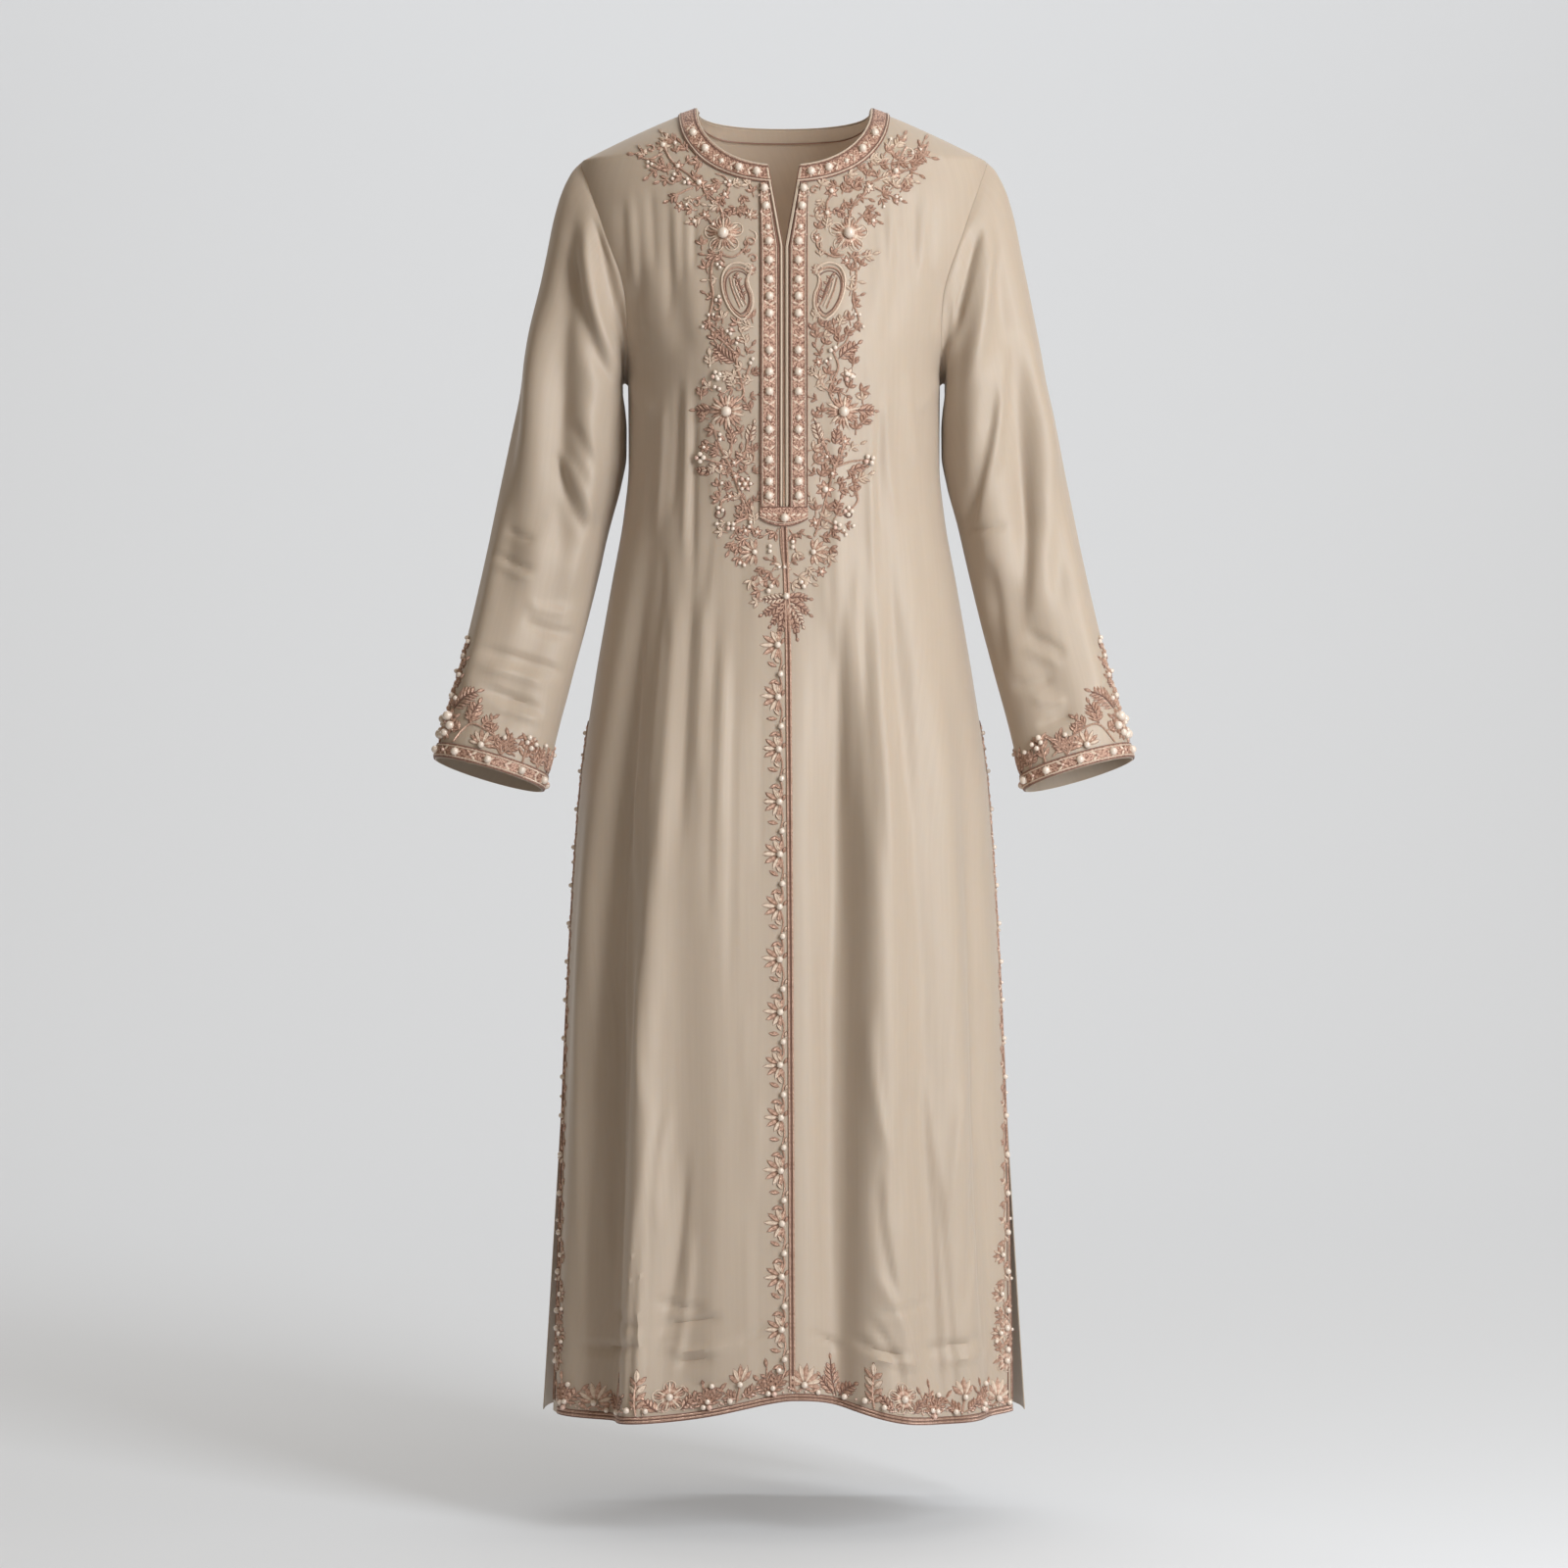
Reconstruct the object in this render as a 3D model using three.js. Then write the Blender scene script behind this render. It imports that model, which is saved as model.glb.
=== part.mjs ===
// Long kurti: a calf-length, full-sleeved tunic in fine crepe, shown filled out as it is worn.
// Millimetres, +Z up, +X towards the wearer's left, -Y to the front. The origin lies midway between
// the two high shoulder points, where the garment hangs on the wearer's shoulders.
// Every cloth piece is a thin closed wall, parted from its neighbours by a small seam gap.
import * as THREE from "three";

// ---------------------------------------------------------------- driving dimensions
const CLOTH = 1.6; // wall of a panel
const SEAM_GAP = 0.6; // between two pieces at a seam
const ARMHOLE_GAP = 0.8; // between a sleeve and the body, whose walls meet at a slant
const LIFT = 0.9; // between a panel and the trim that lies on it
const TRIM = 1.2; // wall of a trim that lies on a panel
const NECK = { halfWidth: 82, frontDrop: 63.5, backDrop: 9, roundness: 2.2 };
const SHOULDER = { x: 193, z: -50, curve: 1.15 };
const UNDERARM_Z = -262;
const NECK_SLIT = { halfGap: 13.7, bottomZ: -142 };
const SIDE_SLIT_TOP = -588;
const HEM = { front: -1228, back: -1234, centreRise: 26, centreWidth: 62, sideRise: 3 };
const ROUNDNESS = 2.2; // exponent of the body's rounded sections
const PIPING = { width: 3.6, inset: 0.8, height: 2 };
const PLACKET = { halfWidth: 22, bottomZ: -384, endZ: -402, endPearlZ: -397 };
const NECKBAND = { inset: 0.6, width: 16.5, lift: 1.3, overShoulder: 14, samples: 60 };
const CUFF_BAND = { inset: 1, width: 14, pearls: 10 };
const FACING = { inset: 0.8, depth: 18 };
const BRAID = { width: 6, crown: 0.4, hemWidth: 9, hemInset: 1.2, slitWidth: 8, slitInset: 1 };
const PEARL = { radius: 3.9, height: 4.6 };
const BUST = { x: 78, z: -228, wide: 60, tall: 75, height: 9 };

// Half-width of the body where front and back meet, below the shoulder point.
const BODY_WIDTH = [
  { z: -50, x: 193 }, { z: -85, x: 192 }, { z: -120, x: 189 }, { z: -187, x: 165 },
  { z: -222, x: 156 }, { z: -244, x: 150 }, { z: -262, x: 148 }, { z: -337, x: 147.5 },
  { z: -385, x: 152 }, { z: -453, x: 164 }, { z: -546, x: 180 }, { z: -639, x: 193 },
  { z: -732, x: 200 }, { z: -918, x: 210 }, { z: -1104, x: 221 }, { z: -1250, x: 230 },
];
// How far the centre front and the centre back stand out from the side seams.
const FRONT_PROFILE = [
  { z: 0, y: 28 }, { z: -17, y: 46 }, { z: -36, y: 62 }, { z: -53, y: 71 }, { z: -64, y: 75 },
  { z: -90, y: 86 }, { z: -120, y: 95 }, { z: -160, y: 104.5 }, { z: -200, y: 111.5 },
  { z: -240, y: 115.5 }, { z: -290, y: 117 }, { z: -337, y: 116 }, { z: -400, y: 116 },
  { z: -480, y: 121 }, { z: -640, y: 135 }, { z: -800, y: 146 }, { z: -1000, y: 157 },
  { z: -1250, y: 167 },
];
const BACK_PROFILE = [
  { z: 0, y: 30 }, { z: -1, y: 37 }, { z: -4, y: 48 }, { z: -9, y: 55 }, { z: -30, y: 67 },
  { z: -60, y: 81 }, { z: -120, y: 100 }, { z: -187, y: 108 }, { z: -262, y: 104 },
  { z: -337, y: 95 }, { z: -400, y: 92 }, { z: -480, y: 102 }, { z: -560, y: 116 },
  { z: -640, y: 127 }, { z: -800, y: 138 }, { z: -1000, y: 148 }, { z: -1250, y: 160 },
];
// Armhole seam: its distance from the middle, on the front and on the back.
const ARMHOLE = [
  { z: -50, front: 193, back: 193 }, { z: -60, front: 190, back: 190.5 },
  { z: -80, front: 183, back: 184 }, { z: -120, front: 169, back: 172 },
  { z: -187, front: 149, back: 152.5 }, { z: -222, front: 147.5, back: 150.5 },
  { z: -244, front: 147.5, back: 148.7 }, { z: -262, front: 148, back: 148 },
];
// Where each panel's side edge stands, in degrees round from the middle: 90 is the side seam.
const FRONT_EDGE = [
  { z: -588, deg: 90 }, { z: -760, deg: 88.5 }, { z: -880, deg: 84.5 }, { z: -1000, deg: 78.5 },
  { z: -1100, deg: 73.5 }, { z: -1250, deg: 68 },
];
// The centre-front seam leaves the middle below the placket.
const SEAM_SHIFT = [{ z: -392, x: 0 }, { z: -520, x: 4 }, { z: -1250, x: 8 }];

// Sleeve sections from armhole to cuff: o is the outer end, i the underarm end, front and back
// the depth reached, rise how far the front stands above the back. cap says how much of the
// armhole's own outline is left.
const SLEEVE = [
  { ox: 193, oz: -50, ix: 148, iz: -262, front: 57, back: 48, rise: 0, cap: 1 },
  { ox: 200, oz: -57, ix: 151, iz: -259.6, front: 58.5, back: 50, rise: 0, cap: 0.96 },
  { ox: 206, oz: -67, ix: 152.8, iz: -260.5, front: 60, back: 52, rise: 0, cap: 0.86 },
  { ox: 212, oz: -81, ix: 153.3, iz: -263.5, front: 61, back: 53, rise: 0, cap: 0.74 },
  { ox: 218.6, oz: -104, ix: 153, iz: -268.5, front: 61, back: 53, rise: 0, cap: 0.6 },
  { ox: 225.5, oz: -138, ix: 152.7, iz: -276, front: 60, back: 53, rise: 0, cap: 0.42 },
  { ox: 234, oz: -180, ix: 152.5, iz: -288, front: 58, back: 52, rise: 0, cap: 0.24 },
  { ox: 243, oz: -228, ix: 152.6, iz: -305, front: 56, back: 51, rise: 0, cap: 0.1 },
  { ox: 252, oz: -275, ix: 154, iz: -328, front: 54, back: 50, rise: 0, cap: 0 },
  { ox: 262, oz: -322, ix: 158.5, iz: -357, front: 52, back: 49, rise: 0, cap: 0 },
  { ox: 271, oz: -366, ix: 166.5, iz: -393, front: 51, back: 46, rise: 1, cap: 0 },
  { ox: 280, oz: -412, ix: 175, iz: -440, front: 54, back: 40, rise: 3, cap: 0 },
  { ox: 289.5, oz: -458, ix: 186, iz: -487, front: 60, back: 31, rise: 5, cap: 0 },
  { ox: 300, oz: -505, ix: 198, iz: -534, front: 67, back: 21, rise: 6, cap: 0 },
  { ox: 312, oz: -552, ix: 210.5, iz: -581, front: 75, back: 11, rise: 7, cap: 0 },
  { ox: 322, oz: -592, ix: 220, iz: -621, front: 81, back: 3, rise: 7, cap: 0 },
  { ox: 328, oz: -617, ix: 227, iz: -646, front: 84, back: -1, rise: 7, cap: 0 },
];

// Folds die away this near the side seams, the shoulder seams and the sleeve's first rings.
const FOLD_FADE = { deg: 12, mm: 40, rings: 5 };
// Soft folds. deg is the place round the panel from its middle (towards +X), at the top and the
// foot of the fold; wide is its half-width in degrees; high is out (+) or in (-).
const FRONT_FOLDS = [
  { topDeg: -52, footDeg: -44, top: -330, foot: -1300, wide: 7.5, high: -9 },
  { topDeg: -38, footDeg: -33, top: -420, foot: -1300, wide: 6, high: 6 },
  { topDeg: -28, footDeg: -24, top: -440, foot: -1240, wide: 6, high: -9 },
  { topDeg: -15, footDeg: -13, top: -400, foot: -1300, wide: 6, high: 6 },
  { topDeg: 13, footDeg: 12, top: -430, foot: -1300, wide: 6, high: -9 },
  { topDeg: 24, footDeg: 25, top: -430, foot: -1300, wide: 6, high: 5 },
  { topDeg: 33, footDeg: 35, top: -380, foot: -1240, wide: 5.5, high: -7 },
  { topDeg: 47, footDeg: 46, top: -420, foot: -1300, wide: 7, high: 6 },
  { topDeg: -66, footDeg: -60, top: -560, foot: -1300, wide: 7, high: 5 },
  { topDeg: 62, footDeg: 58, top: -520, foot: -1300, wide: 6.5, high: -6 },
  { topDeg: -22, footDeg: -24, top: -72, foot: -200, wide: 5, high: -3 },
  { topDeg: -36, footDeg: -36, top: -70, foot: -215, wide: 5.5, high: -4 },
  { topDeg: 24, footDeg: 25, top: -76, foot: -200, wide: 5, high: -3 },
  { topDeg: 37, footDeg: 36, top: -70, foot: -205, wide: 5.5, high: -3.5 },
];
const BACK_FOLDS = [
  { topDeg: -62, footDeg: -58, top: -420, foot: -1300, wide: 8, high: -8 },
  { topDeg: -44, footDeg: -42, top: -380, foot: -1300, wide: 7, high: 7 },
  { topDeg: -27, footDeg: -28, top: -430, foot: -1300, wide: 8, high: -9 },
  { topDeg: -8, footDeg: -10, top: -360, foot: -1300, wide: 8, high: 8 },
  { topDeg: 10, footDeg: 9, top: -450, foot: -1300, wide: 7, high: -8 },
  { topDeg: 28, footDeg: 27, top: -400, foot: -1300, wide: 8, high: 8 },
  { topDeg: 47, footDeg: 45, top: -420, foot: -1300, wide: 8, high: -9 },
  { topDeg: 64, footDeg: 62, top: -520, foot: -1300, wide: 6, high: 5 },
  { topDeg: -40, footDeg: -30, top: -230, foot: -470, wide: 8, high: -4 },
  { topDeg: 40, footDeg: 31, top: -240, foot: -460, wide: 8, high: -4 },
];
// deg goes round the sleeve from its outer line: 90 is the front, 180 the underarm, 270 the back.
const SLEEVE_FOLDS = [
  { topDeg: 62, footDeg: 84, top: -105, foot: -430, wide: 15, high: -5 },
  { topDeg: 100, footDeg: 128, top: -150, foot: -470, wide: 17, high: 4.5 },
  { topDeg: 40, footDeg: 48, top: -190, foot: -600, wide: 15, high: 3.5 },
  { topDeg: 120, footDeg: 92, top: -420, foot: -600, wide: 20, high: -4 },
  { topDeg: 300, footDeg: 285, top: -120, foot: -480, wide: 17, high: -5 },
  { topDeg: 262, footDeg: 240, top: -170, foot: -520, wide: 18, high: 4 },
  { topDeg: 325, footDeg: 315, top: -300, foot: -610, wide: 15, high: -3 },
];

// Pearls: z on the placket strips, and distance along each neckband from the notch.
const PLACKET_PEARLS = [
  { right: -87, left: -87 }, { right: -104, left: -104 }, { right: -124, left: -124 },
  { right: -138, left: -138 }, { right: -156, left: -156 }, { right: -174.5, left: -174.5 },
  { right: -189, left: -190 }, { right: -206, left: -206 }, { right: -240, left: -240 },
  { right: -260, left: -260 }, { right: -278, left: -278 }, { right: -302, left: -302 },
  { right: -313, left: -313 }, { right: -341, left: -341 }, { right: -361, left: -361 },
  { right: -374, left: -374 },
];
const NECKBAND_PEARLS = [12, 29, 47, 66, 87];
const BEAD_STEP = { curved: 9, straight: 30 }; // longest stretch of strip with no row between
// Large flowers and paisleys of the yoke: place of the middle, reach, and the tip's lean.
const FLOWERS = [
  { name: "right_upper", x: -56, z: -130, reach: 17, turn: 20 },
  { name: "left_upper", x: 60, z: -130, reach: 17, turn: -20 },
  { name: "right_lower", x: -52.5, z: -296, reach: 18, turn: 8 },
  { name: "left_lower", x: 54.5, z: -296, reach: 18, turn: -8 },
];
const PAISLEYS = [
  { name: "right", x: -43, z: -186, wide: 13, tall: 25, lean: -9 },
  { name: "left", x: 42, z: -186, wide: 13, tall: 25, lean: 9 },
];

// Grid sizes
const FLOWER_PETALS = 5;
const FLOWER_RINGS = [
  { reach: 0, rise: 4.6 }, { reach: 0.26, rise: 0.6 }, { reach: 0.7, rise: 1.4 }, { reach: 1, rise: 0 },
];
const PAISLEY_RINGS = [
  { reach: 0, rise: 0.6 }, { reach: 0.45, rise: 0.6 }, { reach: 0.82, rise: 1.6 }, { reach: 1, rise: 0 },
];
const PAISLEY_SIDES = 20;
const BRAID_ROWS = 26;
const ROWS_BELOW = 15; // hem to underarm
const ROWS_ABOVE = 10; // underarm to shoulder; the sleeve has twice as many sides
const NECK_COLUMNS = 9; // of a front panel's columns, those that end at the neckline
const FRONT_COLUMNS = 16;
const BACK_COLUMNS = 26;
const SLEEVE_RINGS = 16;

const sideName = { "-1": "right", 1: "left" }; // of the wearer

// ---------------------------------------------------------------- small helpers
const V = (x, y, z) => new THREE.Vector3(x, y, z);
const rad = THREE.MathUtils.degToRad;
const lerp = THREE.MathUtils.lerp;
const clamp = THREE.MathUtils.clamp;
const smooth = (t) => THREE.MathUtils.smoothstep(t, 0, 1);
const span = (n, f) => Array.from({ length: n + 1 }, (_, i) => f(i / n, i));
const colour = (r, g, b) => new THREE.Color().setRGB(r, g, b, THREE.SRGBColorSpace);

// A column of a table as a smooth function of its key, with no overshoot.
function track(table, key, column) {
  const rows = [...table].sort((a, b) => a[key] - b[key]);
  const k = rows.map((r) => r[key]);
  const v = rows.map((r) => r[column]);
  const slope = k.slice(1).map((_, i) => (v[i + 1] - v[i]) / (k[i + 1] - k[i]));
  const tangent = k.map((_, i) => {
    if (i === 0) return slope[0];
    if (i === k.length - 1) return slope[i - 1];
    const [a, b] = [slope[i - 1], slope[i]];
    return a * b <= 0 ? 0 : (2 * a * b) / (a + b);
  });
  return (at) => {
    if (at <= k[0]) return v[0];
    if (at >= k[k.length - 1]) return v[v.length - 1];
    const i = k.findIndex((x) => x > at) - 1;
    const h = k[i + 1] - k[i];
    const t = (at - k[i]) / h;
    const [t2, t3] = [t * t, t * t * t];
    return (2 * t3 - 3 * t2 + 1) * v[i] + (t3 - 2 * t2 + t) * h * tangent[i]
      + (3 * t2 - 2 * t3) * v[i + 1] + (t3 - t2) * h * tangent[i + 1];
  };
}

// ---------------------------------------------------------------- the body's surface
const sideWidth = track(BODY_WIDTH, "z", "x");
const frontDepth = track(FRONT_PROFILE, "z", "y");
const backDepth = track(BACK_PROFILE, "z", "y");
const frontEdge = track(FRONT_EDGE, "z", "deg");
const seamX = track(SEAM_SHIFT, "z", "x");
const armhole = { front: track(ARMHOLE, "z", "front"), back: track(ARMHOLE, "z", "back") };

const shoulderZ = (x) =>
  SHOULDER.z * Math.max(0, (x - NECK.halfWidth) / (SHOULDER.x - NECK.halfWidth)) ** SHOULDER.curve;
const halfWidth = (z) =>
  z > SHOULDER.z
    ? NECK.halfWidth
      + (SHOULDER.x - NECK.halfWidth) * Math.max(0, z / SHOULDER.z) ** (1 / SHOULDER.curve)
    : sideWidth(z);

// Degrees round the section from its middle, and the x at that angle.
function angleOf(x, z) {
  const share = clamp((Math.abs(x) / halfWidth(z)) ** (ROUNDNESS / 2), 0, 1);
  return THREE.MathUtils.radToDeg(Math.asin(share)) * Math.sign(x);
}
const xAt = (deg, z) =>
  halfWidth(z) * Math.sign(deg) * Math.abs(Math.sin(rad(deg))) ** (2 / ROUNDNESS);

function bustHeight(x, z) {
  const across = (Math.abs(x) - BUST.x) / BUST.wide;
  const up = (z - BUST.z) / BUST.tall;
  return BUST.height * Math.exp(-across * across - up * up);
}

function bodyPoint(x, z, isFront) {
  const round = Math.max(0, 1 - (Math.abs(x) / halfWidth(z)) ** ROUNDNESS) ** (1 / ROUNDNESS);
  if (!isFront) return V(x, backDepth(z) * round + SEAM_GAP / 2, z);
  return V(x, -(frontDepth(z) + bustHeight(x, z)) * round - SEAM_GAP / 2, z);
}

// Height of a set of folds at a place, each a soft ridge or trough that fades in and out.
function foldHeight(folds, deg, z) {
  let height = 0;
  for (const f of folds) {
    const along = (f.top - z) / (f.top - f.foot);
    if (along <= 0 || along >= 1) continue;
    const away = (deg - lerp(f.topDeg, f.footDeg, along)) / f.wide;
    const fade = smooth(along / 0.3) * smooth((1 - along) / 0.12);
    height += f.high * fade * Math.exp(-away * away);
  }
  return height;
}

// ---------------------------------------------------------------- panel outlines, in x and z
// Rows and neckline columns crowd together towards the shoulder seam, where the cloth turns over.
const crowded = (t) => Math.sin((t * Math.PI) / 2);
const armholeZ = (i) => lerp(UNDERARM_Z, SHOULDER.z, crowded(i / ROWS_ABOVE));

// The front neckline, b mm below its edge; the end at the shoulder keeps to the shoulder seam.
function neckline(angle, b) {
  const x = NECK.halfWidth + b;
  const z = shoulderZ(x);
  const power = 2 / NECK.roundness;
  return {
    x: x * Math.abs(Math.sin(angle)) ** power,
    z: z - (NECK.frontDrop + b + z) * Math.abs(Math.cos(angle)) ** power,
  };
}
const neckAngleAt = (x, b) => Math.asin((x / (NECK.halfWidth + b)) ** (NECK.roundness / 2));

function slitX(z) {
  const open = clamp((z - NECK_SLIT.bottomZ) / (-NECK.frontDrop - NECK_SLIT.bottomZ), 0, 1);
  return NECK_SLIT.halfGap * open;
}

// side is +1 for the wearer's left. The inner edge of a front panel.
const innerEdgeX = (z, side) => side * (slitX(z) + SEAM_GAP / 2) + seamX(z);

function hemZ(deg, isFront) {
  if (!isFront) return HEM.back;
  const x = xAt(deg, HEM.front);
  const middle = Math.exp(-(((x - seamX(HEM.front)) / HEM.centreWidth) ** 2));
  return HEM.front + HEM.centreRise * middle + HEM.sideRise * (Math.abs(deg) / 70) ** 4;
}

// Coons patch in x and z between a bottom and a top curve and two side curves.
function coons(s, t, bottom, top, left, right) {
  const [b, u, l, r] = [bottom(s), top(s), left(t), right(t)];
  const [b0, b1, u0, u1] = [bottom(0), bottom(1), top(0), top(1)];
  const mix = (k) =>
    (1 - t) * b[k] + t * u[k] + (1 - s) * l[k] + s * r[k]
    - (1 - s) * (1 - t) * b0[k] - s * (1 - t) * b1[k] - (1 - s) * t * u0[k] - s * t * u1[k];
  return { x: mix("x"), z: mix("z") };
}

// Grid of the front panel on one side: rows run from the hem up, columns from the centre out.
function frontGrid(side) {
  const rows = [];
  for (let i = 0; i < ROWS_BELOW; i++) {
    const up = i / ROWS_BELOW;
    rows.push(span(FRONT_COLUMNS, (s) => {
      const zEdge = lerp(HEM.front, UNDERARM_Z, up);
      const edge = side * (zEdge < SIDE_SLIT_TOP ? frontEdge(zEdge) : 90);
      const deg = lerp(angleOf(innerEdgeX(zEdge, side), zEdge), edge, s);
      const z = lerp(hemZ(deg, true), UNDERARM_Z, up);
      return bodyPoint(s === 0 ? innerEdgeX(z, side) : xAt(deg, z), z, true);
    }));
  }
  const neckStart = neckAngleAt(NECK_SLIT.halfGap + SEAM_GAP / 2, 0);
  const share = NECK_COLUMNS / FRONT_COLUMNS;
  const top = (s) => {
    if (s <= share) return neckline(lerp(neckStart, Math.PI / 2, crowded(s / share)), 0);
    const x = lerp(NECK.halfWidth, SHOULDER.x, (s - share) / (1 - share));
    return { x, z: shoulderZ(x) };
  };
  const bottom = (s) => ({
    x: xAt(lerp(angleOf(SEAM_GAP / 2, UNDERARM_Z), 90, s), UNDERARM_Z),
    z: UNDERARM_Z,
  });
  for (let i = 0; i <= ROWS_ABOVE; i++) {
    const zArm = armholeZ(i);
    const t = (zArm - UNDERARM_Z) / (SHOULDER.z - UNDERARM_Z);
    const left = () => {
      const z = lerp(UNDERARM_Z, top(0).z, t);
      return { x: innerEdgeX(z, 1), z };
    };
    const right = () => ({ x: armhole.front(zArm), z: zArm });
    rows.push(span(FRONT_COLUMNS, (s) => {
      const at = coons(s, t, bottom, top, left, right);
      return bodyPoint(side * at.x, at.z, true);
    }));
  }
  return rows;
}

// Grid of the back: columns run from the wearer's right to the left.
function backGrid() {
  const rows = [];
  for (let i = 0; i < ROWS_BELOW; i++) {
    const up = i / ROWS_BELOW;
    rows.push(span(BACK_COLUMNS, (s) => {
      const deg = lerp(-90, 90, s);
      const z = lerp(hemZ(deg, false), UNDERARM_Z, up);
      return bodyPoint(xAt(deg, z), z, false);
    }));
  }
  const share = 0.5;
  const top = (s) => {
    if (s <= share) {
      const angle = crowded(s / share) * (Math.PI / 2);
      const power = 2 / NECK.roundness;
      return {
        x: NECK.halfWidth * Math.sin(angle) ** power,
        z: -NECK.backDrop * Math.max(0, Math.cos(angle)) ** power,
      };
    }
    const x = lerp(NECK.halfWidth, SHOULDER.x, (s - share) / (1 - share));
    return { x, z: shoulderZ(x) };
  };
  const bottom = (s) => ({ x: xAt(lerp(0, 90, s), UNDERARM_Z), z: UNDERARM_Z });
  for (let i = 0; i <= ROWS_ABOVE; i++) {
    const zArm = armholeZ(i);
    const t = (zArm - UNDERARM_Z) / (SHOULDER.z - UNDERARM_Z);
    const left = () => ({ x: 0, z: lerp(UNDERARM_Z, -NECK.backDrop, t) });
    const right = () => ({ x: armhole.back(zArm), z: zArm });
    rows.push(span(BACK_COLUMNS, (s) => {
      const at = coons(Math.abs(2 * s - 1), t, bottom, top, left, right);
      return bodyPoint(Math.sign(2 * s - 1) * at.x, at.z, false);
    }));
  }
  return rows;
}

// ---------------------------------------------------------------- grids, normals and walls
// Unit normal at each point of a grid, pointing away from the garment's inside.
function gridNormals(grid, outward, closed = false) {
  const [last, end] = [grid.length - 1, grid[0].length - 1];
  return grid.map((row, i) => row.map((p, j) => {
    const up = grid[Math.min(last, i + 1)][j].clone().sub(grid[Math.max(0, i - 1)][j]);
    const next = closed ? row[(j + 1) % (end + 1)] : row[Math.min(end, j + 1)];
    const before = closed ? row[(j + end) % (end + 1)] : row[Math.max(0, j - 1)];
    const n = up.cross(next.clone().sub(before)).normalize();
    return n.dot(outward(p, i, j)) < 0 ? n.negate() : n;
  }));
}

const moved = (grid, normals, by) =>
  grid.map((row, i) => row.map((p, j) => p.clone().addScaledVector(normals[i][j], by(p, i, j))));

function geometry(points, triangles) {
  const g = new THREE.BufferGeometry();
  g.setAttribute("position", new THREE.Float32BufferAttribute(points.flatMap((p) => p.toArray()), 3));
  let volume = 0;
  for (const [a, b, c] of triangles) {
    volume += points[a].dot(points[b].clone().cross(points[c]));
  }
  const real = triangles.filter(([a, b, c]) =>
    !points[a].equals(points[b]) && !points[b].equals(points[c]) && !points[c].equals(points[a]));
  g.setIndex((volume < 0 ? real.map(([a, b, c]) => [a, c, b]) : real).flat());
  return g;
}

// A closed wall between an outer and an inner grid of the same size. closed joins the columns.
function wall(outer, inner, closed = false) {
  const [rows, cols] = [outer.length, outer[0].length];
  const at = (layer, i, j) => layer * rows * cols + i * cols + (j % cols);
  const triangles = [];
  const quad = (a, b, c, d) => triangles.push([a, b, c], [a, c, d]);
  const lastCell = closed ? cols : cols - 1;
  for (let i = 0; i < rows - 1; i++) {
    for (let j = 0; j < lastCell; j++) {
      quad(at(0, i, j), at(0, i, j + 1), at(0, i + 1, j + 1), at(0, i + 1, j));
      triangles.push([at(1, i, j), at(1, i + 1, j + 1), at(1, i, j + 1)]);
      triangles.push([at(1, i, j), at(1, i + 1, j), at(1, i + 1, j + 1)]);
    }
  }
  for (let j = 0; j < lastCell; j++) {
    quad(at(0, 0, j + 1), at(0, 0, j), at(1, 0, j), at(1, 0, j + 1));
    quad(at(0, rows - 1, j), at(0, rows - 1, j + 1), at(1, rows - 1, j + 1), at(1, rows - 1, j));
  }
  if (!closed) {
    for (let i = 0; i < rows - 1; i++) {
      quad(at(0, i, 0), at(0, i + 1, 0), at(1, i + 1, 0), at(1, i, 0));
      quad(at(0, i + 1, cols - 1), at(0, i, cols - 1), at(1, i, cols - 1), at(1, i + 1, cols - 1));
    }
  }
  return geometry([...outer.flat(), ...inner.flat()], triangles);
}

// ---------------------------------------------------------------- the three body panels
// A seam's edges point the same way on both its panels, so their walls meet side by side.
const flatten = (n, axis) => {
  n[axis] = 0;
  return n.normalize();
};

function bodyPanel(base, isFront, folds) {
  const last = base[0].length - 1;
  // sideways, to the front or back, and upwards on top of the shoulders
  const away = (p) => V(p.x * 0.4, isFront ? -60 : 60, Math.max(0, p.z + 60));
  const outer = moved(base, gridNormals(base, away), (p) => {
    const deg = angleOf(p.x, p.z);
    const nearSide = smooth((90 - Math.abs(deg)) / FOLD_FADE.deg);
    const nearTop = smooth((shoulderZ(Math.abs(p.x)) - p.z) / FOLD_FADE.mm);
    return foldHeight(folds, deg, p.z) * nearSide * nearTop;
  });
  const normals = gridNormals(outer, away);
  const joinsSide = (i) => base[i][last].z >= SIDE_SLIT_TOP && i <= ROWS_BELOW;
  for (let i = 0; i <= ROWS_BELOW; i++) {
    if (joinsSide(i)) flatten(normals[i][last], "y");
    if (!isFront && joinsSide(i)) flatten(normals[i][0], "y");
  }
  normals[normals.length - 1].forEach((n, j) => {
    const x = Math.abs(base[base.length - 1][j].x);
    if (x >= NECK.halfWidth - 1) flatten(n, "y");
  });
  if (isFront) normals.forEach((row) => flatten(row[0], "x"));
  return { outer, normals };
}

const FRONT = {
  "-1": bodyPanel(frontGrid(-1), true, FRONT_FOLDS),
  1: bodyPanel(frontGrid(1), true, FRONT_FOLDS),
};
const BACK = bodyPanel(backGrid(), false, BACK_FOLDS);

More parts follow.
